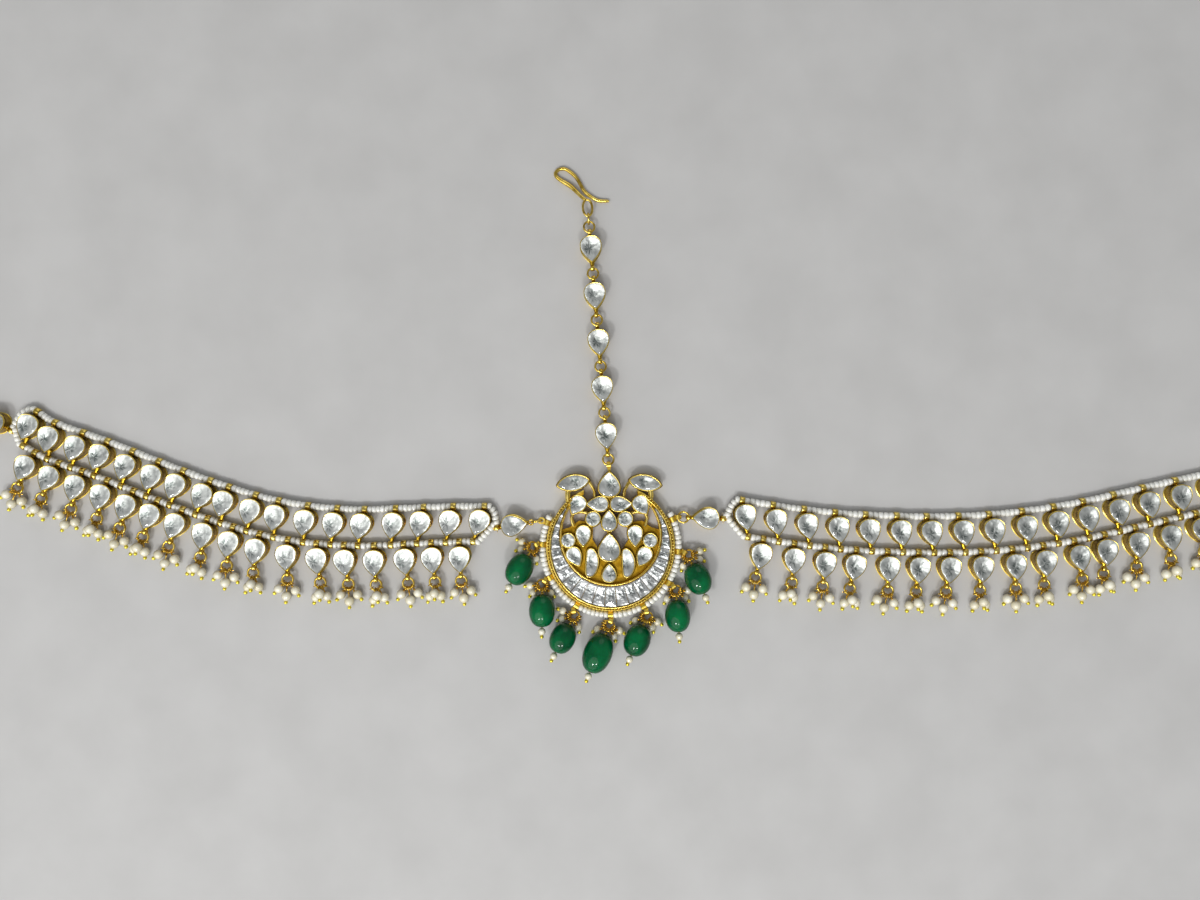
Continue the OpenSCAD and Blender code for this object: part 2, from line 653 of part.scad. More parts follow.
module lug_bores(angle, ring_turn, flat) {
    rotate(angle) translate([string_r, 0, string_z]) rotate([90, 0, 0])
        cylinder(h = eyelet_l + 2, d = eyelet_bore, center = true, $fn = faces_round);
    translate(lug_eye_r * dir(angle)) rotate(ring_turn - 90) eye_bore_at(0, flat);
}
module pendant_frame() {
    color(gold) difference() {
        union() {
            linear_extrude(rim_h) {
                crescent_2d(chand_r, bow_r);
                stone_outlines(0);
            }
            linear_extrude(flange_h) intersection() {
                crescent_2d(chand_r + flange_w, channel_r);
                below(fan * horn_y);
            }
            linear_extrude(plate_t) intersection() {
                both_sides() polygon(fan * plate_edge);
                translate(bow_at) circle(r = channel_bow_r, $fn = faces_round);
            }
            linear_extrude(wire_h) translate([fan * fan_shift, 0]) {
                both_sides() for (row = wires) ribbon(fan * row[0], fan * row[1]);
                for (row = middle_wires) ribbon(fan * row[0], fan * row[1]);
            }
            for (row = drops) lug(row[0], row[1], false);
            for (i = [0, 1]) lug(side_lugs[i], side_turns[i], i == 0);
            at_chain(0) {
                eye_at(0);
                foot(-crown_stem - 1, -eye_hole / 2, link_z);
            }
        }
        translate([0, 0, floor_h]) linear_extrude(rim_h) {
            intersection() {
                crescent_2d(channel_r, channel_bow_r);
                below(fan * channel_top);
            }
            stone_outlines(-bezel);
        }
        for (row = drops) lug_bores(row[0], row[1], false);
        for (i = [0, 1]) lug_bores(side_lugs[i], side_turns[i], i == 0);
        at_chain(0) eye_bore_at(0);
    }
}
module pendant_stones() {
    for (row = all_stones) color(crystal) placed(row) translate([0, 0, floor_h + stone_gap])
        cut_stone(row[0], fan * row[3], fan * row[4], -bezel - stone_gap, rim_h - floor_h - stone_gap,
            pendant_rise);
}

// Crescent of baguettes on one backing, each with a table and two rows of steps
fan_middle = bow_rise / 2;
baguette_start = 143.5;
baguette_span = 253;
backing_drop = 0.3;
function ray(a, centre_y, r) = let (d = centre_y - fan_middle) d * sin(a) + sqrt(r * r - pow(d * cos(a), 2));
function on_band(a, share) = let (
    inner = ray(a, bow_rise, channel_bow_r + stone_gap),
    outer = ray(a, 0, channel_r - stone_gap)
) [0, fan_middle] + (inner + (outer - inner) * share) * dir(a);
module baguette(from, to) {
    span = to - from;
    loft([for (level = [[0.05, -0.4], [0.07, 0.1], [0.14, 0.6], [0.27, 1]])
        let (m = level[0], z = rim_h + (level[1] < 0 ? level[1] : level[1] * pendant_rise))
        [
            lifted(on_band(from + span * m, m), z), lifted(on_band(from + span * m, 1 - m), z),
            lifted(on_band(to - span * m, 1 - m), z), lifted(on_band(to - span * m, m), z)
        ]]);
}
module crescent_stones() {
    step = baguette_span / baguettes;
    color(crystal) {
        translate([0, 0, floor_h + stone_gap]) linear_extrude(rim_h - floor_h - stone_gap - backing_drop)
            intersection() {
                crescent_2d(channel_r - stone_gap, channel_bow_r + stone_gap);
                below(fan * channel_top - stone_gap);
            }
        for (i = [0:baguettes - 1]) baguette(baguette_start + i * step, baguette_start + (i + 1) * step);
    }
}
module pendant_pearl_string() {
    stops = concat([side_lugs[0]], [for (row = drops) row[0]], [side_lugs[1]]);
    angles = concat(
        [stops[0] - string_end],
        [for (i = [0:len(stops) - 2]) for (k = [0:string_steps - 1])
            stops[i] + (stops[i + 1] - stops[i]) * k / string_steps],
        [stops[len(stops) - 1], stops[len(stops) - 1] + string_end]
    );
    color(pearl) tube([for (a = angles) lifted(string_r * dir(a), string_z)], string_d, 8);
}

// Green drops: a tilted ring with pearls, a bead, and a pin that links them
function ring_place(row, turn, r) = let (
    x = ring_r + r * cos(turn - row[1]),
    y = r * sin(turn - row[1])
) lifted(
    lug_eye_r * dir(row[0]) + x * cos(ring_tilt) * dir(row[1]) + y * dir(row[1] + 90),
    link_z + x * sin(ring_tilt)
);
module bead_cluster(row) {
    outward = row[2] > row[0] ? -1 : 1;
    color(gold) translate(lifted(lug_eye_r * dir(row[0]), link_z))
        rotate([0, -ring_tilt, row[1]]) translate([ring_r, 0, 0]) jump_ring();
    color(pearl) for (a = cluster_turns) {
        turn = row[2] + outward * a;
        middle = ring_place(row, turn, 0);
        pearl_at = [middle.x, middle.y] + cluster_reach * dir(turn);
        headpin(ring_place(row, turn, ring_r), lifted(pearl_at, cluster_pearl_d / 2), cluster_pearl_d);
    }
}
module bead_clusters() {
    for (row = drops) bead_cluster(row);
}
bead_lift = 0.1;
module along_bead(row) {
    start = ring_place(row, row[2], ring_r);
    reach = eye_r + bead_gap + row[4] * bead_l / 2;
    slope = asin((row[3] * bead_w / 2 + bead_lift - start.z) / reach);
    translate(start) rotate([0, 90 - slope, row[2]]) children();
}
module green_bead(i) {
    w = drops[i][3] * bead_w;
    l = drops[i][4] * bead_l;
    ends = 82;
    color(emerald) along_bead(drops[i]) translate([0, 0, eye_r + bead_gap + l / 2])
        rotate_extrude($fn = faces_round) polygon(concat(
            [[bead_bore / 2, -l / 2]],
            [for (k = [-6:6]) let (t = ends * k / 6) [w / 2 * pow(cos(t), 0.85), l / 2 * sin(t) / sin(ends)]],
            [[bead_bore / 2, l / 2]]
        ));
}
module bead_pin(i) {
    tip = eye_r + 2 * bead_gap + drops[i][4] * bead_l + tip_pearl_d / 2;
    along_bead(drops[i]) {
        color(gold) difference() {
            union() {
                rotate([90, 0, 0]) cylinder(h = narrow_eye_t, r = eye_r, center = true, $fn = faces_round);
                translate([0, 0, eye_hole / 2 + eye_wall / 2])
                    cylinder(h = tip - eye_hole / 2, d = pin_d, $fn = 24);
            }
            rotate([90, 0, 0]) cylinder(h = eye_t + 2, d = eye_hole, center = true, $fn = faces_round);
        }
        color(pearl) translate([0, 0, tip]) sphere(d = tip_pearl_d, $fn = faces_round);
        color(gold) translate([0, 0, tip + tip_pearl_d / 2 + ball_d / 3]) sphere(d = ball_d, $fn = 24);
    }
}

pendant_frame();
crescent_stones();
pendant_stones();
pendant_pearl_string();
bead_clusters();
for (i = [0:len(drops) - 1]) green_bead(i);
for (i = [0:len(drops) - 1]) bead_pin(i);
for (i = [0:chain_links - 1]) chain_setting(i);
for (i = [0:chain_links - 1]) chain_stone(i);
chain_rings();
hair_hook();
side_rings();
inner_setting(-1);  // left_inner_setting
inner_stone(-1);  // left_inner_stone
inner_setting(1);  // right_inner_setting
inner_stone(1);  // right_inner_stone
end_setting(-1);  // left_end_setting
end_stone(-1);  // left_end_stone
end_setting(1);  // right_end_setting
end_stone(1);  // right_end_stone
end_hook(-1);  // left_end_hook
end_hook(1);  // right_end_hook
strand_string(-1);  // left_pearl_string
strand_string(1);  // right_pearl_string
upper_settings(-1);  // left_upper_settings
upper_stones(-1);  // left_upper_stones
lower_settings(-1);  // left_lower_settings
lower_stones(-1);  // left_lower_stones
upper_settings(1);  // right_upper_settings
upper_stones(1);  // right_upper_stones
lower_settings(1);  // right_lower_settings
lower_stones(1);  // right_lower_stones
pearl_drops(-1);  // left_pearl_drops
pearl_drops(1);  // right_pearl_drops
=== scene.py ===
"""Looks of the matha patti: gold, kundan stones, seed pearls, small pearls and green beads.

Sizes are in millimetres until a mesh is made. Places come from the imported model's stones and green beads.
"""
import math
import random

import bmesh
import bpy
import numpy as np
from mathutils import Matrix, Vector, noise


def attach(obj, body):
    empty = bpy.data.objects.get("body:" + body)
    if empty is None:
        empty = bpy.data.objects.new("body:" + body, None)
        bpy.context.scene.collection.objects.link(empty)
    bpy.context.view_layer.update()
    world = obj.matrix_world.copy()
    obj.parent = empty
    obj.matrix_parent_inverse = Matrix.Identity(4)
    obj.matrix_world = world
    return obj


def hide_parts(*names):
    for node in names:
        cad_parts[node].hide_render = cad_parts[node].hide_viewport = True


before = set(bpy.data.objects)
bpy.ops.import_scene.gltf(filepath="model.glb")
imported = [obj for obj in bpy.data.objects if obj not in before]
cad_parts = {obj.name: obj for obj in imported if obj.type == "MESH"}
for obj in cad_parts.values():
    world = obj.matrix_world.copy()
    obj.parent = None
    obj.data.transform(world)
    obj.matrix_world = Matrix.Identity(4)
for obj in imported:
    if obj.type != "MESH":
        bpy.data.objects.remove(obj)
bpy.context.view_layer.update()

MM = 0.001
WELD = 2e-6
X_WAY = Vector((1, 0, 0))
Y_WAY = Vector((0, 1, 0))
UP = Vector((0, 0, 1))
ORIGIN = (0, 0, 0)
UV_SPAN = 10
PEARL_LIFT = 0.06

# Pear settings; a profile step is the distance outside the outline and the height
SETTING_W = 6.5
SETTING_L = 8.0
SETTING_H = 4.0
STONE_SHIFT = 0.1
PEAR_SHARE = 1.245
PEAR_POWER = 0.8
TIP_GROWTH = 1.2
CUP_SIDES = 40
CUP_PROFILE = [
    (-0.1, 0.0), (0.0, 0.1), (0.0, 0.34), (-0.17, 0.46), (-0.18, 3.35), (-0.06, 3.52), (0.0, 3.72),
    (-0.03, 3.92), (-0.13, 4.02), (-0.24, 3.96), (-0.29, 3.8), (-0.3, 2.7)]
# Heights over which the painted shade on a cup's wall fades out towards its foot and towards its rolled edge
SHADED_WALL_FOOT = (0.3, 0.7)
SHADED_WALL_TOP = (2.9, 3.6)

# Necks: how far inside the cup they start, and their width there and at their end
HEAD_NECK = (0.45, 1.3, 0.85)
TAIL_NECK = (0.8, 2.0, 1.1)
NECK_INTO_EYELET = 0.2
NECK_OFF_EYE = 0.15

# Cut stones: depth of the girdle below the top of the setting, share and rise of each row of facets
STONE_DEPTH = 1.0
FACET_POINTS = 24
PEAR_SEAT = 0.06
PEAR_CUT = [(0.92, 0.14), (0.74, 0.32), (0.42, 0.42)]
FAN_SEAT = 0.04
FAN_CUT = [(0.9, 0.16), (0.7, 0.3), (0.42, 0.38)]

# Strings, eyelets, rings and eyes
STRING_Z = 1.3
SEED_D = 2.14
SEED_LENGTHS = {-1: 1.37, 1: 1.5}
BARE_STRING = 1.6
HELD_STRING = 1.5
BESIDE_REACH = SETTING_W * 0.53 + 1.05
THREAD_D = 0.35
EYELET_L = 1.5
EYELET_R = 1.15
EYELET_HOLE_R = 0.86
HEAD_REACH = 5.03
TAIL_REACH = 5.95
NEAR_REACH = 5.45
EYE_REACH = 4.95
CHAIN_REACH = 5.35
LINK_Z = 1.95
RING_R = 1.6
RING_WIRE = 0.6
RING_CUT = 2.2
EYE_HOLE_R = 0.5
EYE_R = 0.95
EYE_L = 1.2
NARROW_EYE_L = 0.6

# Small pearls on headpins: direction, share of the reach and layer in the heap
PEARL_D = 2.9
PEARL_REACH = 5.0
HEAP_SHARE = 0.85
BALL_D = 1.2
PIN_WIRE = 0.28
LOOP_R = 0.5
WRAP_TURNS = 2.5
WRAP_L = 0.8
SWINGS = [3, -4, 1, 4, -3, 0, -4, 3]
DROP_PEARLS = [
    [(-38, 0.8, 0), (0, 1.04, 0), (38, 0.82, 0)],
    [(-21, 0.92, 0), (20, 0.9, 0), (2, 0.62, 1)],
]
SPARE_LOOP_WIRE = 0.3
SPARE_LOOPS = [(-62, 0.66), (-20, 0.72), (19, 0.64), (56, 0.7)]

# Pendant: the crescent lies between two circles, the inner one raised
CHAND_R = 18.8
RIM_W = 1.0
RIM_H = 3.2
RIM_END_X = 10.2
RIM_GLOW = (CHAND_R - 0.6, CHAND_R - 0.2)
BOW_R = 14.5
BOW_RISE = 3.6
INNER_RIM_W = 0.6
INNER_RIM_END_X = 9.4
BAGUETTES = 23
BAGUETTE_START = 143.5
BAGUETTE_SPAN = 253
BAGUETTE_CUT = [(0.022, 0.02, -1.0), (0.022, 0.02, 0.05), (0.12, 0.09, 0.42), (0.3, 0.24, 0.68)]
LUG_EYE_R = 22.0
STRING_R = 20.3
SIDE_LUGS = (159, 384)
STRING_END = 8
END_SEEDS_L = 1.5
PENDANT_SEED_L = 1.38

# Lines along the rim: distance inside it, depth below its top and thickness
RIM_LIP = (RIM_W - 0.22, 0, 0.46)
RIM_SIDE = (0.12, 0.75, 0.4)
# A dark line of painted shade between the lip and the side lines
GROOVE_SHADE = (0.3, 0.14, 0.52)
GRAIN_ROW = (0.2, -0.04, 1.0)
GRAIN_SPACING = 0.92
GRAIN_D = 0.56
INNER_LIP_WIRE = 0.4

# Fan: growth, height and thickness of the lines round each stone; kind, x, y, width, length and turn of
# each stone; width and points of each wire
FAN_SHIFT = -0.4
FAN_EDGE = (-0.06, RIM_H - 0.02, 0.34)
# The second line round each stone is a dark line of painted shadow on the plate
FAN_SHADOW_LINE = (0.12, 2.5, 0.32)
PEAR_KIND, ROUND_KIND, LEAF_KIND, BEAN_KIND = range(4)
PAIRED_STONES = [
    (LEAF_KIND, 10.7, 19.2, 4.7, 9.8, -10), (PEAR_KIND, 9.6, 12.5, 5, 6.2, 30),
    (PEAR_KIND, 3.5, 12.9, 4.6, 6.6, 90), (ROUND_KIND, 4.8, 8.5, 4.5, 4.5, 0),
    (ROUND_KIND, 12.2, 2.1, 4.3, 4.3, 0), (PEAR_KIND, 7.7, 3.4, 4.6, 6.4, 0),
    (PEAR_KIND, 10.2, -2.8, 4.6, 6.2, -28), (BEAN_KIND, 5.4, -4.6, 3.8, 8.6, 3),
]
MIDDLE_STONES = [
    (PEAR_KIND, 0, 18.7, 6.6, 7.6, 180), (PEAR_KIND, 0, 8, 4.7, 6.4, 180),
    (PEAR_KIND, 0, 0, 6.6, 8.4, 180), (PEAR_KIND, 0, -7.6, 4.4, 5.6, 180),
]
FAN_WIRES = [
    (1.4, [(12.2, 17.6), (12.4, 15.6), (12.2, 13.4)]),
    (0.8, [(6.8, 20.4), (5.6, 18.8), (4.5, 16.8), (4.3, 14.6)]),
    (1.0, [(6, 12.9), (8, 12.9)]),
    (0.9, [(6.2, 10), (8.2, 10.5), (10, 10.2)]),
    (0.9, [(10.4, 10.4), (11.3, 8.6), (10.6, 6.2)]),
]

# Green drops: angle on the rim, direction of the ring
GREEN_DROPS = [(178, 213), (207, 237), (240, 275), (270, 250), (299, 275), (328, 300), (356, 326)]
RING_TILT = 27
CLUSTER_PEARL_D = 2.4
CLUSTER_REACH = 3.6
CLUSTER_TURNS = [46, 84, -44]
CLUSTER_WIRE = 0.32
CLUSTER_LOOP_R = 0.68
CLUSTER_LOOPS = [(-112, 0.66), (-90, 0.78), (-68, 0.62), (-24, 0.8), (0, 0.7), (22, 0.62), (66, 0.78),
                 (105, 0.64)]
TIP_PEARL_D = 2.2
BEAD_GAP = 0.15
BEAD_WIRE = 0.36
BEAD_LOOP_R = 0.66
BEAD_SINK = 0.4
POLE = 79

# Hooks: points from the middle of the long eye
HOOK_ROUTE = [
    (-0.4, 2.4, 0), (-1.6, 3.6, -0.3), (-4.4, 7, -1.2), (-7, 9, -1.4), (-8.5, 10.4, -1.4),
    (-8.7, 11.5, -1.4), (-7.6, 12.5, -1.4), (-5.8, 12.5, -1.4), (-4, 11.2, -1.4), (-2.6, 9.6, -1.4),
    (-1.6, 7.6, -1.4), (-0.6, 5.5, -1.4), (0.9, 3.9, -1.4), (3.3, 2.3, -1.4), (6.2, 1.9, -1.4),
]
HOOK_EYE_X = 1.4
HOOK_EYE_Y = 2.45
HOOK_EYE_WIRE = 0.7
HOOK_WIRE = 1.06
HOOK_BULGE = 0.3
HOOK_BULGE_AT = 0.22
HOOK_END_D = 0.9

# Studio, in metres: place, width and power of each softbox
FLOOR_HALF = 4
AIM = Vector((0, 0.02, 0))
SOFTBOXES = {
    "key": ((-0.42, -0.76, 0.95), 0.18, 5),
    "second_key": ((0.1, -0.8, 0.98), 0.14, 3),
    "broad": ((-0.5, -0.85, 0.95), 2.0, 13),
    "low_back": ((0.3, 1.5, 0.72), 1.2, 3),
}
WORLD_STRENGTH = 0.28
LENS = 27.09
CAMERA_AT = (-3.15 * MM, 28.9 * MM, 271 * MM)


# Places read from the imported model

def loose_solids(node):
    """The vertices of each separate solid of a CAD node, in millimetres, nearest to the middle first."""
    bm = bmesh.new()
    bm.from_mesh(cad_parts[node].data)
    bmesh.ops.remove_doubles(bm, verts=bm.verts, dist=WELD)
    left = set(bm.verts)
    solids = []
    while left:
        todo = [left.pop()]
        found = list(todo)
        while todo:
            for edge in todo.pop().link_edges:
                for other in edge.verts:
                    if other in left:
                        left.remove(other)
                        todo.append(other)
                        found.append(other)
        solids.append(np.array([v.co[:] for v in found]) / MM)
    bm.free()
    return sorted(solids, key=lambda points: abs(points[:, 0].mean()))


def heading(degrees):
    """Flat direction at an angle from the X axis."""
    return Vector((math.cos(math.radians(degrees)), math.sin(math.radians(degrees)), 0))


def degrees_of(v):
    return math.degrees(math.atan2(v.y, v.x))


def crosswise(way):
    """Flat direction a quarter turn to the left of another."""
    return Vector((-way.y, way.x, 0))


def spin(degrees):
    return Matrix.Rotation(math.radians(degrees), 3, "Z")


def facing(way):
    """Turn that lays a template's Z axis along a direction."""
    z = way.normalized()
    side = UP.cross(z)
    if side.length < 1e-6:
        side = X_WAY
    x = side.normalized()
    return Matrix((x, z.cross(x), z)).transposed()


class Pear:
    """A pear setting's place: its middle, and the direction from its tip to its round end."""

    def __init__(self, points):
        flat = points[:, :2]
        apart = np.linalg.norm(flat[:, None] - flat[None], axis=2)
        tip, end = (flat[k] for k in np.unravel_index(np.argmax(apart), apart.shape))
        way = (end - tip) / np.linalg.norm(end - tip)
        side = np.array([-way[1], way[0]])
        widest = flat[np.argmax(np.abs((flat - tip) @ side))]
        if (widest - (tip + end) / 2) @ way < 0:
            way, side = -way, -side
        middle = sum(axis * ((flat @ axis).max() + (flat @ axis).min()) / 2 for axis in (way, side))
        self.way = Vector((*way, 0))
        self.at = Vector((*middle, 0)) - STONE_SHIFT * self.way
        self.angle = degrees_of(self.way) - 90
        self.turn = spin(self.angle)
        self.across = facing(self.turn @ X_WAY)

    def spot(self, y, z):
        """A place on the setting's middle line."""
        return self.at + y * self.way + z * UP


def pears(node):
    return [Pear(points) for points in loose_solids(node)]


# Meshes

def linked(name, data):
    """An object in the scene."""
    obj = bpy.data.objects.new(name, data)
    bpy.context.scene.collection.objects.link(obj)
    return obj


def full_turn(count):
    """Even steps of a whole turn, in radians."""
    return [math.tau * i / count for i in range(count)]


def uv_of(x, y):
    return x / UV_SPAN + 0.5, y / UV_SPAN + 0.5


def set_shade(mesh, value):
    """One shade for a whole mesh."""
    layer = mesh.attributes.new("shade", "FLOAT", "POINT")
    layer.data.foreach_set("value", [value] * len(mesh.vertices))


def mesh_object(name, verts, faces, smooth=True, sharp=None, uvs=None):
    """A mesh object from points in millimetres, with edges sharp from an angle in degrees."""
    mesh = bpy.data.meshes.new(name)
    mesh.from_pydata([tuple(c * MM for c in v) for v in verts], [], faces)
    if uvs is not None:
        layer = mesh.uv_layers.new(name="UVMap")
        for loop in mesh.loops:
            layer.data[loop.index].uv = uvs[loop.vertex_index]
    bm = bmesh.new()
    bm.from_mesh(mesh)
    bmesh.ops.recalc_face_normals(bm, faces=bm.faces)
    bm.to_mesh(mesh)
    bm.free()
    mesh.polygons.foreach_set("use_smooth", [smooth] * len(mesh.polygons))
    if sharp is not None:
        mesh.set_sharp_from_angle(angle=math.radians(sharp))
    return linked(name, mesh)


def lofted(rings, loop=False):
    """Points and faces of a skin through rings of equal count, capped at both ends or closed on itself."""
    count = len(rings[0])
    verts = [p for ring in rings for p in ring]
    faces = []
    for k in range(len(rings) if loop else len(rings) - 1):
        a = k * count
        b = (k + 1) % len(rings) * count
        faces += [(a + i, b + i, b + (i + 1) % count, a + (i + 1) % count) for i in range(count)]
    if not loop:
        faces += [tuple(range(count)), tuple(range(len(verts) - 1, len(verts) - count - 1, -1))]
    return verts, faces


def turned(profile, sides, loop=False):
    """Points and faces of a profile of (radius, height) turned about Z."""
    steps = full_turn(sides)
    return lofted([[(r * math.cos(a), r * math.sin(a), z) for a in steps] for r, z in profile], loop)


def joined(parts):
    """Several (points, faces) as one."""
    verts, faces = [], []
    for part_verts, part_faces in parts:
        faces += [tuple(i + len(verts) for i in face) for face in part_faces]
        verts += part_verts
    return verts, faces


def pear_outline(w, length, grow, count):
    """Outline of a pear, tip down, grown outwards."""
    return [((w + 2 * grow) / 2 * PEAR_SHARE * math.sin(t) * math.sin(t / 2) ** PEAR_POWER,
             -(length + 2 * grow * TIP_GROWTH) / 2 * math.cos(t) - grow * (TIP_GROWTH - 1))
            for t in full_turn(count)]


# Node trees

def add(tree, kind, inputs=(), **settings):
    """A node with its settings, and its inputs linked or set."""
    node = tree.nodes.new(kind)
    for key, value in settings.items():
        setattr(node, key, value)
    for key, value in dict(inputs).items():
        if isinstance(value, bpy.types.NodeSocket):
            tree.links.new(value, node.inputs[key])
        else:
            node.inputs[key].default_value = value
    return node


def result(tree, kind, inputs=(), **settings):
    """First output of such a node."""
    return add(tree, kind, inputs, **settings).outputs[0]


def maths(tree, operation, *values):
    return result(tree, "ShaderNodeMath", enumerate(values), operation=operation)


def vector_maths(tree, operation, *values, **scale):
    """Vector of such a node, or the number that a length or a dot product gives."""
    node = add(tree, "ShaderNodeVectorMath", {**dict(enumerate(values)), **scale}, operation=operation)
    return node.outputs["Value" if operation in ("LENGTH", "DOT_PRODUCT") else "Vector"]


def new_tree(name, **sockets):
    """A tree that takes and gives geometry, and its named inputs."""
    tree = bpy.data.node_groups.new(name, "GeometryNodeTree")
    tree.interface.new_socket("Geometry", in_out="OUTPUT", socket_type="NodeSocketGeometry")
    for socket, kind in {"Geometry": "Geometry", "Material": "Material", **sockets}.items():
        tree.interface.new_socket(socket.replace("_", " "), in_out="INPUT", socket_type="NodeSocket" + kind)
    return tree, tree.nodes.new("NodeGroupInput").outputs


def finish_tree(tree, geometry, material):
    """Realize Instances and Set Material, and the tree's output."""
    real = result(tree, "GeometryNodeRealizeInstances", {"Geometry": geometry})
    painted = result(tree, "GeometryNodeSetMaterial", {"Geometry": real, "Material": material})
    add(tree, "NodeGroupOutput", {"Geometry": painted})
    return tree


def random_value(tree, kind, low, high, seed):
    node = add(tree, "FunctionNodeRandomValue", {"Min": low, "Max": high, "Seed": seed}, data_type=kind)
    return node.outputs["Value"]


def named_attribute(tree, name, kind):
    node = add(tree, "GeometryNodeInputNamedAttribute", {"Name": name}, data_type=kind)
    return node.outputs["Attribute"]


def make_copies_tree():
    """Copies of a template on points, turned and sized by the points' attributes, with some spread."""
    tree, given = new_tree("place_copies", Template="Object", Seed="Int", Size_spread="Float", Wobble="Float")
    template = add(tree, "GeometryNodeObjectInfo", {"Object": given["Template"]})
    least, most = (maths(tree, way, 1.0, given["Size spread"]) for way in ("SUBTRACT", "ADD"))
    factor = random_value(tree, "FLOAT", least, most, given["Seed"])
    sized = vector_maths(tree, "SCALE", named_attribute(tree, "size", "FLOAT_VECTOR"), Scale=factor)
    lean = random_value(tree, "FLOAT_VECTOR", (-1, -1, -1), (1, 1, 1), given["Seed"])
    leaned = result(tree, "FunctionNodeEulerToRotation", {
        0: vector_maths(tree, "SCALE", lean, Scale=given["Wobble"])})
    rotated = result(tree, "FunctionNodeRotateRotation", {
        "Rotation": named_attribute(tree, "turn", "QUATERNION"), "Rotate By": leaned}, rotation_space="LOCAL")
    placed = result(tree, "GeometryNodeInstanceOnPoints", {
        "Points": given["Geometry"], "Instance": template.outputs["Geometry"], "Rotation": rotated,
        "Scale": sized})
    return finish_tree(tree, placed, given["Material"])


def make_wire_tree():
    """Round wire along lines, as thick as the points' attribute says."""
    tree, given = new_tree("draw_wire", Sides="Int")
    curve = result(tree, "GeometryNodeMeshToCurve", {"Mesh": given["Geometry"]})
    profile = result(tree, "GeometryNodeCurvePrimitiveCircle", {"Resolution": given["Sides"], "Radius": 0.5})
    skin = result(tree, "GeometryNodeCurveToMesh", {
        "Curve": curve, "Profile Curve": profile, "Scale": named_attribute(tree, "thick", "FLOAT"),
        "Fill Caps": True})
    smooth = result(tree, "GeometryNodeSetShadeSmooth", {"Geometry": skin})
    return finish_tree(tree, smooth, given["Material"])


def make_granule_tree():
    """A row of small balls, evenly spaced along a line."""
    tree, given = new_tree("row_of_granules", Spacing="Float", Ball_size="Float", Seed="Int")
    curve = result(tree, "GeometryNodeMeshToCurve", {"Mesh": given["Geometry"]})
    spots = result(tree, "GeometryNodeResampleCurve", {"Curve": curve, "Length": given["Spacing"]},
                   mode="LENGTH")
    radius = maths(tree, "MULTIPLY", given["Ball size"], 0.5)
    ball = result(tree, "GeometryNodeMeshUVSphere", {"Segments": 10, "Rings": 6, "Radius": radius})
    smooth = result(tree, "GeometryNodeSetShadeSmooth", {"Geometry": ball})
    factor = random_value(tree, "FLOAT", 0.88, 1.1, given["Seed"])
    placed = result(tree, "GeometryNodeInstanceOnPoints", {
        "Points": spots, "Instance": smooth, "Scale": factor})
    return finish_tree(tree, placed, given["Material"])


COPIES = make_copies_tree()
WIRE = make_wire_tree()
GRANULES = make_granule_tree()


def grown(tree, source, **values):
    """The plain mesh that a tree makes from a source object; the source is then removed."""
    modifier = source.modifiers.new("nodes", "NODES")
    modifier.node_group = tree
    sockets = {item.name: item.identifier for item in tree.interface.items_tree if item.in_out == "INPUT"}
    for key, value in values.items():
        modifier[sockets[key.replace("_", " ")]] = value
    bpy.context.view_layer.update()
    mesh = bpy.data.meshes.new_from_object(source.evaluated_get(bpy.context.evaluated_depsgraph_get()))
    source.modifiers.remove(modifier)
    bpy.data.objects.remove(source)
    return linked("grown", mesh)


def copies(template, spots, material, spread=0.0, wobble=0.0, seed=1):
    """Copies of a template, each with a random shade; a spot is a place, a turn and perhaps a size."""
    mesh = bpy.data.meshes.new("spots")
    mesh.from_pydata([tuple(Vector(spot[0]) * MM) for spot in spots], [], [])
    for key, kind in (("turn", "QUATERNION"), ("size", "FLOAT_VECTOR"), ("shade", "FLOAT")):
        mesh.attributes.new(key, kind, "POINT")
    turns, sizes, shades = (mesh.attributes[key] for key in ("turn", "size", "shade"))
    draw = random.Random(seed)
    for i, (at, turn, *size) in enumerate(spots):
        size = size[0] if size else 1.0
        turns.data[i].value = turn.to_quaternion()
        sizes.data[i].vector = size if isinstance(size, tuple) else (size, size, size)
        shades.data[i].value = draw.random()
    return grown(COPIES, linked("spots", mesh), Template=template, Material=material, Seed=seed,
                 Size_spread=spread, Wobble=wobble)


def line_source(lines):
    """Polylines as mesh edges; a line is (points, thickness or thicknesses, closed)."""
    verts, edges, thick = [], [], []
    for points, width, closed in lines:
        first = len(verts)
        verts += [tuple(Vector(p) * MM) for p in points]
        thick += list(width) if isinstance(width, (list, tuple)) else [width] * len(points)
        edges += [(first + i, first + i + 1) for i in range(len(points) - 1)]
        if closed:
            edges.append((first + len(points) - 1, first))
    mesh = bpy.data.meshes.new("lines")
    mesh.from_pydata(verts, edges, [])
    layer = mesh.attributes.new("thick", "FLOAT", "POINT")
    layer.data.foreach_set("value", [value * MM for value in thick])
    return linked("lines", mesh)


def wires(lines, material, sides=8):
    return grown(WIRE, line_source(lines), Material=material, Sides=sides)


def merged(name, parts):
    """Several plain meshes as one object."""
    bm = bmesh.new()
    materials = []
    for part in parts:
        start = len(bm.faces)
        bm.from_mesh(part.data)
        bm.faces.ensure_lookup_table()
        slots = list(part.data.materials)
        for slot in slots:
            if slot not in materials:
                materials.append(slot)
        for face in bm.faces[start:]:
            face.material_index = materials.index(slots[face.material_index])
        bpy.data.objects.remove(part)
    mesh = bpy.data.meshes.new(name)
    bm.to_mesh(mesh)
    bm.free()
    for material in materials:
        mesh.materials.append(material)
    return linked(name, mesh)


def finish_piece(name, parts, slot, *nodes):
    """A piece made of plain meshes, on the root body and in place of its CAD nodes."""
    piece = merged(name, parts)
    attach(piece, "root")
    if nodes:
        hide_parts(*nodes)


# Shared shader effects

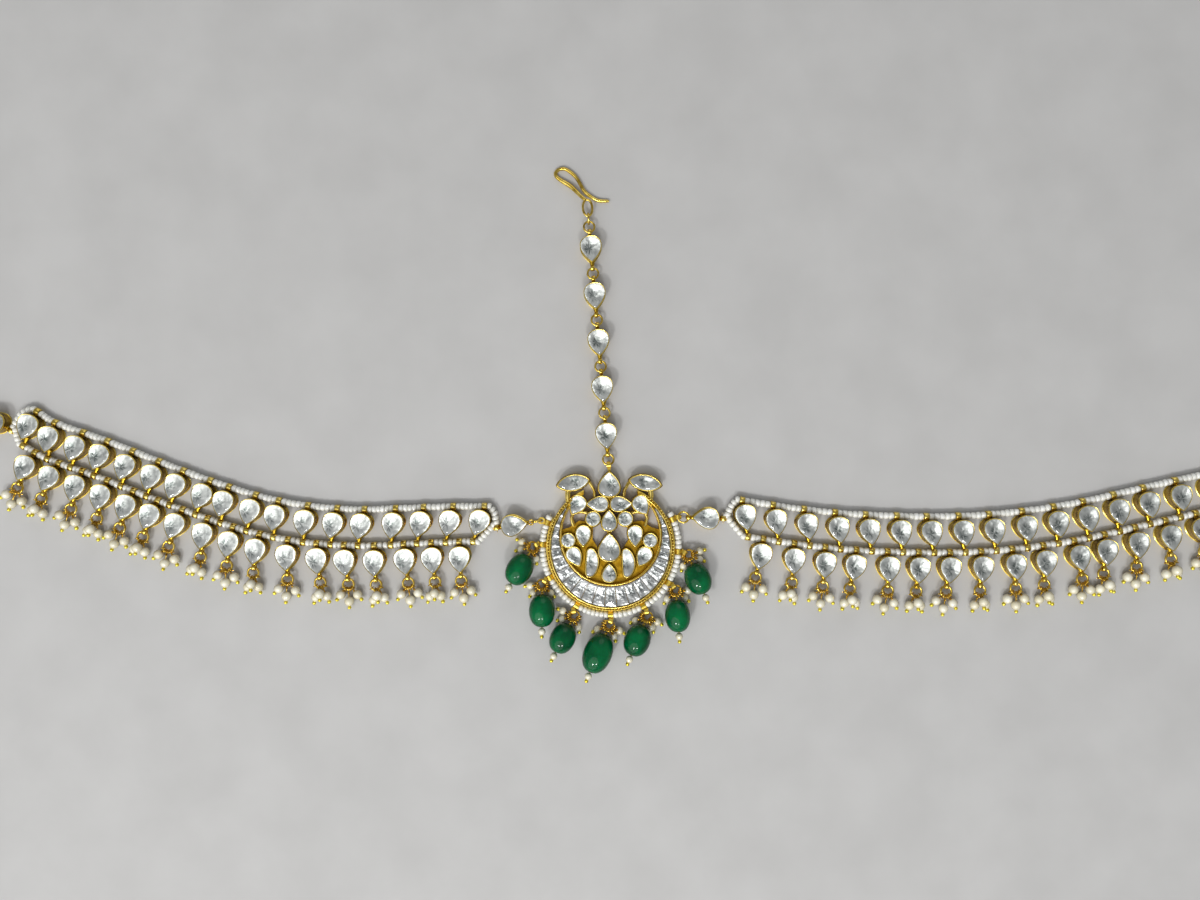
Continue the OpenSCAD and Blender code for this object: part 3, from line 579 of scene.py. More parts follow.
def new_effect(name, **inputs):
    """A shader node group and its named inputs, each with its standard value."""
    tree = bpy.data.node_groups.new(name, "ShaderNodeTree")
    for key, value in inputs.items():
        name = key.replace("_", " ")
        socket = tree.interface.new_socket(name, in_out="INPUT", socket_type="NodeSocketFloat")
        socket.default_value = value
    return tree, tree.nodes.new("NodeGroupInput").outputs


def finish_effect(tree, **outputs):
    """Named outputs of a shader node group."""
    for key in outputs:
        tree.interface.new_socket(key, in_out="OUTPUT", socket_type="NodeSocketFloat")
    add(tree, "NodeGroupOutput", outputs)
    return tree


def object_place(tree):
    return add(tree, "ShaderNodeTexCoord").outputs["Object"]


def object_noise(tree, scale, detail):
    return result(tree, "ShaderNodeTexNoise", {
        "Vector": object_place(tree), "Scale": scale, "Detail": detail})


def shade_value(tree):
    """The random shade that each copy or stone has."""
    return add(tree, "ShaderNodeAttribute", attribute_name="shade").outputs["Fac"]


def ranged(tree, value, start=0.0, end=1.0, low=0.0, high=1.0, smooth=False):
    """A value taken from one range to another."""
    return result(tree, "ShaderNodeMapRange", {
        "Value": value, "From Min": start, "From Max": end, "To Min": low, "To Max": high},
        interpolation_type="SMOOTHSTEP" if smooth else "LINEAR")


def make_patchy_tone():
    """Patches of lighter and darker tone, from 0 to 1; the scale is patches per millimetre."""
    tree, given = new_effect("patchy_tone", Scale=0.4, Detail=3.0)
    patches = object_noise(tree, maths(tree, "MULTIPLY", given["Scale"], 1 / MM), given["Detail"])
    return finish_effect(tree, Tone=ranged(tree, patches, 0.32, 0.68))


def make_fine_dents():
    """Height of shallow dents and fine grain, in millimetres."""
    tree, given = new_effect("fine_dents", Scale=1.0, Dent_depth=0.02, Grain_depth=0.003)
    scale = maths(tree, "MULTIPLY", given["Scale"], 1 / MM)
    dents = object_noise(tree, scale, 1.0)
    grain = object_noise(tree, maths(tree, "MULTIPLY", scale, 5.0), 2.0)
    deep = maths(tree, "MULTIPLY", dents, given["Dent depth"])
    return finish_effect(tree, Height=maths(tree, "MULTIPLY_ADD", grain, given["Grain depth"], deep))


def make_foil():
    """Silver foil cupped behind a stone: its height, rays of painted dark reflection round one spot, and
    cells of painted glint.

    The stone's own millimetres are its UV map, and its shade sets it apart from the others.
    """
    tree, given = new_effect("foil_behind_stone", Cup=0.1, Crease=0.1, Crease_size=0.5, Dark_X=0.0,
                             Dark_Y=0.0, Reach=2.0, Squeeze=1.0)
    local = result(tree, "ShaderNodeMapping", {
        "Vector": add(tree, "ShaderNodeTexCoord").outputs["UV"], "Location": (-UV_SPAN / 2, -UV_SPAN / 2, 0),
        "Scale": (UV_SPAN, UV_SPAN, 0)})
    apart = maths(tree, "MULTIPLY", shade_value(tree), 60.0)
    creases = result(tree, "ShaderNodeTexNoise", {
        "Vector": local, "W": apart, "Scale": given["Crease size"], "Detail": 1.5}, noise_dimensions="4D")
    creased = maths(tree, "MULTIPLY", creases, given["Crease"])
    cupped = vector_maths(tree, "DOT_PRODUCT", local, local)
    height = maths(tree, "MULTIPLY_ADD", cupped, given["Cup"], creased)

    spot = result(tree, "ShaderNodeCombineXYZ", {"X": given["Dark X"], "Y": given["Dark Y"]})
    squeeze = result(tree, "ShaderNodeCombineXYZ", {"X": 1.0, "Y": given["Squeeze"]})
    away = vector_maths(tree, "MULTIPLY", vector_maths(tree, "SUBTRACT", local, spot), squeeze)
    far = vector_maths(tree, "LENGTH", away)
    fanned = vector_maths(tree, "SCALE", vector_maths(tree, "NORMALIZE", away), Scale=1.7)
    lifted = result(tree, "ShaderNodeCombineXYZ", {"Z": maths(tree, "MULTIPLY", far, 0.45)})
    rays = result(tree, "ShaderNodeTexNoise", {
        "Vector": vector_maths(tree, "ADD", fanned, lifted), "W": apart, "Scale": 1.6, "Detail": 3.0},
        noise_dimensions="4D")
    near = maths(tree, "DIVIDE", far, given["Reach"])
    # Painted dark reflection: rays round the spot at Dark X, Dark Y, fading out by Reach
    dark = maths(tree, "MULTIPLY", ranged(tree, rays, 0.37, 0.58, smooth=True),
                 ranged(tree, near, 0.3, 1.0, 1.0, 0.0, smooth=True))

    # Painted glints: some cells of the foil lit up
    cells = add(tree, "ShaderNodeTexVoronoi", {"Vector": local, "W": apart, "Scale": 1.3},
                voronoi_dimensions="4D")
    red = add(tree, "ShaderNodeSeparateColor", {"Color": cells.outputs["Color"]}).outputs["Red"]
    return finish_effect(tree, Height=height, Dark=dark, Chip=ranged(tree, red, 0.74, 0.9))


TONE = make_patchy_tone()
DENTS = make_fine_dents()
FOIL = make_foil()


# Materials

def placed_effect(tree, group, **values):
    """Outputs of a shared effect in a material."""
    node = tree.nodes.new("ShaderNodeGroup")
    node.node_tree = group
    for key, value in values.items():
        node.inputs[key.replace("_", " ")].default_value = value
    return node.outputs


def blank_material(name, **fixed):
    """A material with a Principled shader and its constants."""
    material = bpy.data.materials.new(name)
    material.use_nodes = True
    tree = material.node_tree
    tree.nodes.clear()
    shader = tree.nodes.new("ShaderNodeBsdfPrincipled")
    leave = tree.nodes.new("ShaderNodeOutputMaterial")
    tree.links.new(shader.outputs[0], leave.inputs["Surface"])
    for key, value in fixed.items():
        shader.inputs[key.replace("_", " ")].default_value = value
    return material, tree, shader


def feed(tree, shader, **sockets):
    """Link the Principled shader's named inputs."""
    for key, socket in sockets.items():
        tree.links.new(socket, shader.inputs[key.replace("_", " ")])


def mixed(tree, factor, low, high):
    """A colour between two, by a factor; each colour is fixed or comes from a socket."""
    mix = tree.nodes.new("ShaderNodeMix")
    mix.data_type = "RGBA"
    tree.links.new(factor, mix.inputs[0])
    for number, colour in ((6, low), (7, high)):
        if isinstance(colour, bpy.types.NodeSocket):
            tree.links.new(colour, mix.inputs[number])
        else:
            mix.inputs[number].default_value = (*colour, 1)
    return mix.outputs[2]


def painted_edge_shade(tree, blend, body, rim):
    """A colour that turns to another where the surface turns away, as painted shade at the edges."""
    layer = add(tree, "ShaderNodeLayerWeight", {"Blend": blend})
    return mixed(tree, layer.outputs["Facing"], body, rim)


def bumped(tree, height, strength=1.0):
    return result(tree, "ShaderNodeBump", {"Height": height, "Distance": MM, "Strength": strength})


def dented(tree, scale, dent, grain, strength=1.0):
    """Normal with shallow dents and fine grain."""
    dents = placed_effect(tree, DENTS, Scale=scale, Dent_depth=dent, Grain_depth=grain)
    return bumped(tree, dents["Height"], strength)


def gold_finish(name, low, high, rough_low, rough_high, scale, dent, grain, wall=None, beyond=None):
    """Gold in two tones with fine dents.

    A cup's wall has painted shade between its base line and its rolled edge. The pendant is brighter beyond
    its rim.
    """
    material, tree, shader = blank_material(name, Metallic=1.0)
    tone = placed_effect(tree, TONE, Scale=scale)["Tone"]
    body = mixed(tree, tone, low, high)
    if wall is not None:
        # Painted shade: the wall colour covers the cup's wall except near its foot and its rolled edge
        height = add(tree, "ShaderNodeSeparateXYZ", {"Vector": object_place(tree)}).outputs["Z"]
        edge = ranged(tree, height, *(z * MM for z in SHADED_WALL_TOP), smooth=True)
        base = ranged(tree, height, *(z * MM for z in SHADED_WALL_FOOT), 1.0, 0.0, smooth=True)
        body = mixed(tree, maths(tree, "MAXIMUM", edge, base), wall, body)
    if beyond is not None:
        flat = vector_maths(tree, "MULTIPLY", object_place(tree), (1, 1, 0))
        outside = ranged(tree, vector_maths(tree, "LENGTH", flat), *(r * MM for r in RIM_GLOW))
        body = mixed(tree, outside, body, beyond)
    feed(tree, shader, Base_Color=body, Roughness=ranged(tree, tone, low=rough_low, high=rough_high),
         Normal=dented(tree, scale * 2, dent, grain))
    return material


GOLD = gold_finish("polished_gold", (0.73, 0.52, 0.09), (0.94, 0.75, 0.22), 0.2, 0.32, 0.45, 0.02, 0.003)
# The cups' wall colour is painted shade
CUP_GOLD = gold_finish("cup_gold", (0.71, 0.51, 0.08), (0.92, 0.73, 0.21), 0.2, 0.32, 0.4, 0.012, 0.002,
                       wall=(0.44, 0.28, 0.022))
PLATE_GOLD = gold_finish("matte_gold", (0.44, 0.23, 0.01), (0.66, 0.39, 0.03), 0.3, 0.44, 0.6, 0.04, 0.008,
                         beyond=(0.8, 0.58, 0.1))
# Very dark gold for the lines of painted shade and painted shadow on the pendant
PAINTED_SHADE_GOLD = gold_finish("painted_shade_gold", (0.13, 0.065, 0.004), (0.26, 0.14, 0.008), 0.4, 0.55, 0.8, 0.02,
                          0.006)
WIRE_GOLD = gold_finish("gold_wire", (0.57, 0.37, 0.035), (0.91, 0.69, 0.17), 0.16, 0.28, 0.7, 0.01, 0.002)
PIN_GOLD = gold_finish("pin_wire", (0.40, 0.21, 0.01), (0.86, 0.58, 0.09), 0.16, 0.28, 1.1, 0.01, 0.002)
BALL_GOLD = gold_finish("gold_balls", (0.78, 0.62, 0.05), (0.95, 0.82, 0.12), 0.34, 0.48, 0.8, 0.01, 0.002)


def foiled_stone(name, clear, grey, dark, rough, **foil_inputs):
    """Clear stone over silver foil, darkened in rays by painted dark reflection and lit in cells by painted
    glints.
    """
    material, tree, shader = blank_material(name, Metallic=0.8, Coat_Weight=1.0, Coat_Roughness=0.04,
                                            Coat_IOR=1.6)
    foil = placed_effect(tree, FOIL, **foil_inputs)
    tone = placed_effect(tree, TONE, Scale=0.5)["Tone"]
    # The dark colour is painted dark reflection in rays; the brightened cells are painted glints
    body = mixed(tree, foil["Dark"], mixed(tree, tone, grey, clear), dark)
    glint = maths(tree, "MULTIPLY", foil["Chip"], 0.5)
    feed(tree, shader, Base_Color=mixed(tree, glint, body, clear),
         Roughness=ranged(tree, tone, low=rough, high=rough + 0.12), Normal=bumped(tree, foil["Height"]))
    return material


# For each stone: clear and grey foil tones, then the dark colour of painted reflection
KUNDAN = foiled_stone(
    "kundan_stone", (0.66, 0.68, 0.65), (0.5, 0.525, 0.5), (0.1, 0.125, 0.115), 0.4,
    Cup=0.14, Crease=0.5, Crease_size=0.55, Dark_X=-0.7, Dark_Y=-0.1, Reach=2.1, Squeeze=0.8)
BAGUETTE = foiled_stone(
    "baguette_stone", (0.76, 0.77, 0.76), (0.52, 0.54, 0.53), (0.11, 0.13, 0.125), 0.3,
    Cup=0.1, Crease=0.5, Crease_size=0.8, Dark_X=0.0, Dark_Y=-0.2, Reach=1.5, Squeeze=0.7)


def pearl_finish(name, low, high, edge_shade_colour):
    material, tree, shader = blank_material(
        name, Coat_Weight=1.0, Coat_Roughness=0.08, Subsurface_Weight=0.15, Subsurface_Scale=0.0008,
        Subsurface_Radius=(1.0, 0.95, 0.85))
    body = mixed(tree, shade_value(tree), low, high)
    tone = placed_effect(tree, TONE, Scale=0.8)["Tone"]
    # Painted shade: the pearl darkens towards its edges
    feed(tree, shader, Base_Color=painted_edge_shade(tree, 0.42, body, edge_shade_colour),
         Roughness=ranged(tree, tone, low=0.14, high=0.28), Normal=dented(tree, 0.9, 0.06, 0.004))
    return material


# The third colour of each is the painted shade at the pearls' edges
PEARL = pearl_finish("pearl", (0.82, 0.77, 0.58), (0.94, 0.91, 0.76), (0.40, 0.34, 0.18))
SEED = pearl_finish("seed_pearl", (0.88, 0.88, 0.82), (0.97, 0.97, 0.93), (0.68, 0.68, 0.6))


def green_finish():
    material, tree, shader = blank_material(
        "green_bead", Coat_Weight=0.4, Coat_Roughness=0.03, Subsurface_Weight=0.4, Subsurface_Scale=0.0015,
        Subsurface_Radius=(0.1, 1.0, 0.35), Specular_IOR_Level=0.06)
    tone = placed_effect(tree, TONE, Scale=0.22, Detail=2.0)["Tone"]
    body = mixed(tree, tone, (0.0, 0.066, 0.02), (0.0, 0.16, 0.046))
    body = mixed(tree, maths(tree, "MULTIPLY", shade_value(tree), 0.3), body, (0.0, 0.2, 0.06))
    # Painted shade: the bead turns dark green towards its edges
    feed(tree, shader, Base_Color=painted_edge_shade(tree, 0.4, body, (0.0, 0.026, 0.008)),
         Roughness=ranged(tree, tone, low=0.1, high=0.2), Normal=dented(tree, 0.3, 0.08, 0.002, 0.6))
    return material


def thread_finish():
    material, tree, shader = blank_material("cotton_thread", Roughness=0.8)
    wave = add(tree, "ShaderNodeTexWave", {
        "Vector": object_place(tree), "Scale": 2600.0, "Distortion": 1.0}).outputs["Fac"]
    feed(tree, shader, Base_Color=mixed(tree, wave, (0.5, 0.44, 0.34), (0.78, 0.72, 0.6)),
         Normal=bumped(tree, ranged(tree, wave, low=0.0, high=0.03)))
    return material


GREEN = green_finish()
THREAD = thread_finish()


# Templates, which are removed at the end

def neck(y_from, y_to, w_from, w_to, z_from, z_to):
    """A tapered stem along the setting's middle line, rounded in section."""
    rings = []
    for k in range(7):
        t = k / 6
        ease = t * t * (3 - 2 * t)
        w = w_from + (w_to - w_from) * math.sqrt(t)
        h = w * (0.9 if w < 1.2 else 1.08 / w)
        y = y_from + (y_to - y_from) * t
        z = z_from + (z_to - z_from) * ease
        ring = [(w / 2 * math.cos(a), y, z + h / 2 * math.sin(a)) for a in full_turn(10)]
        rings.append(ring if y_to > y_from else ring[::-1])
    return lofted(rings)


def to_eyelet(reach):
    """End of a neck inside its eyelet, and its height there."""
    return reach - EYELET_R + NECK_INTO_EYELET, STRING_Z


def to_eye(reach):
    """End of a neck just short of its eye's hole, and its height there."""
    return reach - EYE_HOLE_R - NECK_OFF_EYE, LINK_Z


def setting_template(name, head, tail):
    """Pear cup with a base flange, an upright wall, a rolled edge, a floor under the stone and two necks."""
    half = SETTING_L / 2
    cup = lofted([[(x, y, z) for x, y in pear_outline(SETTING_W, SETTING_L, grow, CUP_SIDES)]
                  for grow, z in CUP_PROFILE])
    (head_y, head_z), (tail_y, tail_z) = head, tail
    verts, faces = joined([
        cup, neck(half - HEAD_NECK[0], head_y, *HEAD_NECK[1:], min(head_z, 2.0), head_z),
        neck(-half + TAIL_NECK[0], -tail_y, *TAIL_NECK[1:], min(tail_z + 0.2, 2.1), tail_z)])
    return mesh_object(name, verts, faces, sharp=40)


def sleeve_template(name, outer, inner, length):
    """A short tube along Z with rounded ends."""
    half = length / 2
    soft = (outer - inner) * 0.35
    profile = [
        (outer - soft, -half), (outer, -half + soft), (outer, half - soft), (outer - soft, half),
        (inner + soft, half), (inner, half - soft), (inner, -half + soft), (inner + soft, -half)]
    return mesh_object(name, *turned(profile, 18, loop=True), sharp=50)


def ball_template(name, segments, rings):
    """A ball one unit across, closed at its poles."""
    bm = bmesh.new()
    bmesh.ops.create_uvsphere(bm, u_segments=segments, v_segments=rings, radius=0.5 * MM)
    mesh = bpy.data.meshes.new(name)
    bm.to_mesh(mesh)
    bm.free()
    mesh.polygons.foreach_set("use_smooth", [True] * len(mesh.polygons))
    return linked(name, mesh)


def seed_template():
    """A small drilled bead, flat-ended and a little uneven, one unit across and long."""
    verts, faces = turned([
        (0.12, -0.5), (0.38, -0.48), (0.48, -0.3), (0.5, 0.0), (0.48, 0.3), (0.38, 0.48), (0.12, 0.5)], 12)
    uneven = []
    for x, y, z in verts:
        n = noise.noise(Vector((x * 3, y * 3, z * 3 + 7)))
        uneven.append((x * (1 + 0.1 * n), y * (1 + 0.1 * n), z))
    return mesh_object("seed", uneven, faces)


def bead_template():
    """Oval drilled bead, one unit across and long, with a slightly sunk hole at each end."""
    profile = [(0.05, -0.44), (0.075, -0.485)]
    for k in range(-8, 9):
        t = math.radians(POLE * k / 8)
        profile.append((0.5 * math.cos(t) ** 0.85, 0.5 * math.sin(t) / math.sin(math.radians(POLE)) * 0.995))
    profile += [(0.075, 0.485), (0.05, 0.44)]
    return mesh_object("oval_bead", *turned(profile, 40))


def faceted(name, outline, top, seat, cut):
    """A cut stone: rows of triangular facets from its girdle to its table; a cut is a share and a rise."""
    count = len(outline)
    half = [((ax + bx) / 2, (ay + by) / 2) for (ax, ay), (bx, by) in zip(outline, outline[1:] + outline[:1])]
    girdle = top - seat
    rows = [[(x * 0.9, y * 0.9, girdle - STONE_DEPTH) for x, y in outline],
            [(x, y, girdle) for x, y in outline]]
    rows += [[(x * share, y * share, top + rise) for x, y in (outline if k % 2 else half)]
             for k, (share, rise) in enumerate(cut)]
    faces = [tuple(range(count))[::-1]]
    for k in range(len(rows) - 1):
        a, b = k * count, (k + 1) * count
        for i in range(count):
            j = (i + 1) % count
            if k == 0:
                faces.append((i, j, b + j, b + i))
            elif k % 2 == 1:
                faces += [(a + i, a + j, b + i), (a + j, b + j, b + i)]
            else:
                faces += [(a + i, a + j, b + j), (a + i, b + j, b + i)]
    faces.append(tuple(range((len(rows) - 1) * count, len(rows) * count)))
    verts = [p for row in rows for p in row]
    return mesh_object(name, verts, faces, sharp=40, uvs=[uv_of(x, y) for x, y, z in verts])


STRUNG_CUP = setting_template("strung_cup", to_eyelet(HEAD_REACH), to_eyelet(TAIL_REACH))
HANGING_CUP = setting_template("hanging_cup", to_eyelet(HEAD_REACH), to_eye(EYE_REACH))
LINK_CUP = setting_template("link_cup", to_eyelet(NEAR_REACH), to_eye(EYE_REACH))
CHAIN_CUP = setting_template("chain_cup", to_eye(CHAIN_REACH), to_eye(CHAIN_REACH))
EYELET = sleeve_template("eyelet", EYELET_R, EYELET_HOLE_R, EYELET_L)
EYE = sleeve_template("eye", EYE_R, EYE_HOLE_R, EYE_L)
NARROW_EYE = sleeve_template("narrow_eye", EYE_R, EYE_HOLE_R, NARROW_EYE_L)
PEARL_BALL = ball_template("pearl_ball", 16, 10)
GOLD_BALL = ball_template("gold_ball", 10, 6)
SEED_BEAD = seed_template()
OVAL_BEAD = bead_template()
PEAR_STONE = faceted("pear_stone", pear_outline(SETTING_W, SETTING_L, -0.25, FACET_POINTS), SETTING_H,
                     PEAR_SEAT, PEAR_CUT)
TEMPLATES = [STRUNG_CUP, HANGING_CUP, LINK_CUP, CHAIN_CUP, EYELET, EYE, NARROW_EYE, PEARL_BALL, GOLD_BALL,
             SEED_BEAD, OVAL_BEAD, PEAR_STONE]


# Paths

def smooth_path(points, step, closed=False):
    """Points about a step apart on a smooth line through the given ones."""
    points = [Vector(p) for p in points]
    last = len(points)
    out = []
    for i in range(last if closed else last - 1):
        if closed:
            a, b, c, d = (points[(i + k) % last] for k in (-1, 0, 1, 2))
        else:
            a, b = points[max(i - 1, 0)], points[i]
            c, d = points[i + 1], points[min(i + 2, last - 1)]
        count = max(1, round((c - b).length / step))
        for k in range(count):
            t = k / count
            out.append((2 * b + (c - a) * t + (2 * a - 5 * b + 4 * c - d) * t * t
                        + (3 * b - a - 3 * c + d) * t ** 3) / 2)
    if not closed:
        out.append(points[-1])
    return out


def arc(centre, radius, start, end, z, step):
    """Points on a flat arc, at most a step in degrees apart."""
    count = max(2, math.ceil(abs(end - start) / step))
    return [Vector(centre) + radius * heading(start + (end - start) * i / count) + z * UP
            for i in range(count + 1)]


def circle(centre, radius, x, y, angles):
    """Points at angles in degrees on a circle in the plane of two directions."""
    return [centre + radius * (math.cos(a) * x + math.sin(a) * y) for a in map(math.radians, angles)]


def ring_line(centre, x, y, cut, wire=RING_WIRE):
    """A jump ring in the plane of two directions, with its thin cut at an angle."""
    count = 30
    angles = [cut + RING_CUT + (360 - 2 * RING_CUT) * i / count for i in range(count + 1)]
    return circle(centre, RING_R, x, y, angles), wire, False


def pin_loop(ring_at, tangent, way, wire, radius):
    """A nearly closed loop round a ring's wire."""
    way = way.normalized()
    up = tangent.cross(way).normalized()
    return circle(ring_at, radius, way, up, [10 + 350 * i / 14 for i in range(15)]), wire, False


def pin_line(ring_at, tangent, way, end, wire=PIN_WIRE, loop=LOOP_R):
    """A headpin: a loop round the ring wire, a few wraps round its own stem, then straight to its end."""
    way = way.normalized()
    up = tangent.cross(way).normalized()
    start = ring_at + way * (loop + 0.05)
    run = end - start
    axis = run.normalized()
    side = axis.cross(up).normalized()
    lift = side.cross(axis)
    wraps = []
    length = min(WRAP_L, run.length * 0.45)
    count = int(WRAP_TURNS * 9)
    for i in range(count + 1):
        a = math.tau * WRAP_TURNS * i / count
        round_stem = wire * 0.95 * (math.cos(a) * lift + math.sin(a) * side)
        wraps.append(start + axis * (length * (1 - i / count)) + round_stem)
    return [
        pin_loop(ring_at, tangent, way, wire, loop), (wraps, wire * 0.85, False), ([start, end], wire, False)]


class Heap:
    """Small pearls, gold balls and wires gathered for one piece."""

    def __init__(self):
        self.pearls, self.balls, self.lines = [], [], []

    def add_pearl(self, at, way, size):
        """A pearl, and the ball at the end of its pin."""
        tip = at + way * (size / 2 + BALL_D / 3)
        self.pearls.append((at, facing(way), size))
        self.balls.append((tip, facing(way), BALL_D))
        self.lines.append(([at, tip], PIN_WIRE, False))


class Run:
    """A path that can be read by the distance along it."""

    def __init__(self, points):
        self.points = points
        self.lengths = [0.0]
        for a, b in zip(points, points[1:]):
            self.lengths.append(self.lengths[-1] + (b - a).length)
        self.total = self.lengths[-1]

    def at(self, s):
        """Place and direction at a distance."""
        s = min(max(s, 0.0), self.total)
        k = int(np.searchsorted(self.lengths, s, side="right")) - 1
        k = min(max(k, 0), len(self.points) - 2)
        span = self.lengths[k + 1] - self.lengths[k]
        t = (s - self.lengths[k]) / span if span > 0 else 0.0
        return self.points[k].lerp(self.points[k + 1], t), (self.points[k + 1] - self.points[k]).normalized()

    def nearest(self, place):
        k = min(range(len(self.points)), key=lambda i: (self.points[i] - place).length)
        return self.lengths[k]

    def seeds(self, spans, draw):
        """Seed pearls side by side; a span is its two distances along the run and the length of a pearl."""
        spots = []
        for start, end, length in spans:
            space = end - start
            count = max(1, round(space / length))
            for i in range(count):
                at, way = self.at(start + space * (i + 0.5) / count)
                lean = Vector([draw.uniform(-most, most) for most in (0.08, 0.08, 0.05)])
                thick = SEED_D * draw.uniform(0.94, 1.06)
                turn = facing(way + lean) @ Matrix.Rotation(draw.uniform(0, math.tau), 3, "Z")
                long = min(space / count, length * 1.08) * draw.uniform(0.95, 1.0)
                spots.append((at, turn, (thick, thick, long)))
        return spots


def dress_string(name, seeds, seed, path, closed, node):
    """Seed pearls on their thread."""
    finish_piece(name, [
        copies(SEED_BEAD, seeds, SEED, wobble=0.1, seed=seed), wires([(path, THREAD_D, closed)], THREAD, 6)],
        "seed_pearl", node)


def dress_stones(name, settings, seed, node):
    """A cut stone in each of some pear settings."""
    stones = copies(PEAR_STONE, [(pear.at, pear.turn) for pear in settings], KUNDAN, seed=seed)
    finish_piece(name, [stones], "kundan_stone", node)


# Strands

SIDES = {side: {
    "word": word,
    "upper": pears(word + "_upper_stones"),
    "lower": pears(word + "_lower_stones"),
    "near": pears(word + "_inner_stone")[0],
    "far": pears(word + "_end_stone")[0],
} for side, word in ((-1, "left"), (1, "right"))}


def ways_along(places):
    """Direction at each of a row of places, from the one before to the one after."""
    before = [2 * places[0] - places[1]] + places[:-1]
    after = places[1:] + [2 * places[-1] - places[-2]]
    return [(b - a).normalized() for a, b in zip(before, after)]


def stop_points(stops, held):
    """Points of the string at its stops, three at each of those that hold its direction."""
    points = []
    for k, (at, way) in enumerate(stops):
        points += [at - way * HELD_STRING, at, at + way * HELD_STRING] if k in held else [at]
    return points


def beside(pear, degrees):
    """Place beside the round end of an upper setting, where the string passes it."""
    centre = pear.spot(SETTING_L / 8, STRING_Z)
    return centre + spin(degrees) @ pear.way * BESIDE_REACH


def string_route(strand, side):
    """Stops of the doubled string, out and back, each with its direction, and the points of its path."""
    upper, near, far = strand["upper"], strand["near"], strand["far"]
    tails = [pear.spot(-TAIL_REACH, STRING_Z) for pear in upper]
    heads = [pear.spot(HEAD_REACH, STRING_Z) for pear in upper]
    middle = [tails[0]]
    for hanging, tail in zip(strand["lower"], tails[1:]):
        middle += [hanging.spot(HEAD_REACH, STRING_Z), tail]
    out = [(near.spot(NEAR_REACH, STRING_Z), side * crosswise(near.way)), *zip(middle, ways_along(middle)),
           (far.spot(NEAR_REACH, STRING_Z), side * crosswise(far.way))]
    back = [(at, -way) for at, way in zip(heads, ways_along(heads))][::-1]
    points = stop_points(out, (0, 1, len(out) - 2, len(out) - 1))
    points += [beside(upper[-1], -side * turn) for turn in (78, 52, 26)]
    points += stop_points(back, (0, len(back) - 1))
    points += [beside(upper[0], side * turn) for turn in (26, 50)]
    return out, back, points


def dress_strand(side):
    """The cups, stones, eyelets, string and small pearls of one strand."""
    strand = SIDES[side]
    word = strand["word"]
    out, back, points = string_route(strand, side)
    path = smooth_path(points, 0.4, closed=True)
    run = Run(path + [path[0]])
    marks = [run.nearest(at) for at, way in out + back]
    half = EYELET_L / 2
    last = len(out) - 1
    starts = [mark + half + (BARE_STRING if k in (0, last) else 0) for k, mark in enumerate(marks)]
    ends = [mark - half - (BARE_STRING if k == last else 0) for k, mark in enumerate(marks)][1:]
    ends.append(run.total - half - BARE_STRING)
    spans = [(start, end, SEED_LENGTHS[side]) for start, end in zip(starts, ends)]
    seeds = run.seeds(spans, random.Random(11 + side))
    dress_string(f"{word}_seed_string", seeds, 21 + side, path, True, f"{word}_pearl_string")

    sleeves = {"upper": out[1:-1:2] + back, "lower": out[2:-2:2]}
    for row, cup in (("upper", STRUNG_CUP), ("lower", HANGING_CUP)):
        parts = [copies(cup, [(pear.at, pear.turn) for pear in strand[row]], CUP_GOLD, seed=3)]
        if row == "lower":
            eyes = [(pear.spot(-EYE_REACH, LINK_Z), pear.across) for pear in strand[row]]
            parts.append(copies(EYE, eyes, WIRE_GOLD))
        parts.append(copies(EYELET, [(at, facing(way)) for at, way in sleeves[row]], GOLD))
        finish_piece(f"{word}_{row}_row", parts, "gold", f"{word}_{row}_settings")
        dress_stones(f"{word}_{row}_cut_stones", strand[row], 5, f"{word}_{row}_stones")

    for place, pear, eye in (("inner", strand["near"], EYE), ("end", strand["far"], NARROW_EYE)):
        flat = place == "inner" and side < 0
        finish_piece(f"{word}_{place}_cup", [
            copies(LINK_CUP, [(pear.at, pear.turn)], CUP_GOLD),
            copies(EYELET, [(pear.spot(NEAR_REACH, STRING_Z), pear.across)], WIRE_GOLD),
            copies(eye, [(pear.spot(-EYE_REACH, LINK_Z), pear.turn if flat else pear.across)], WIRE_GOLD)],
            "gold", f"{word}_{place}_setting")
        dress_stones(f"{word}_{place}_cut_stone", [pear], 9, f"{word}_{place}_stone")
    dress_small_drops(side)


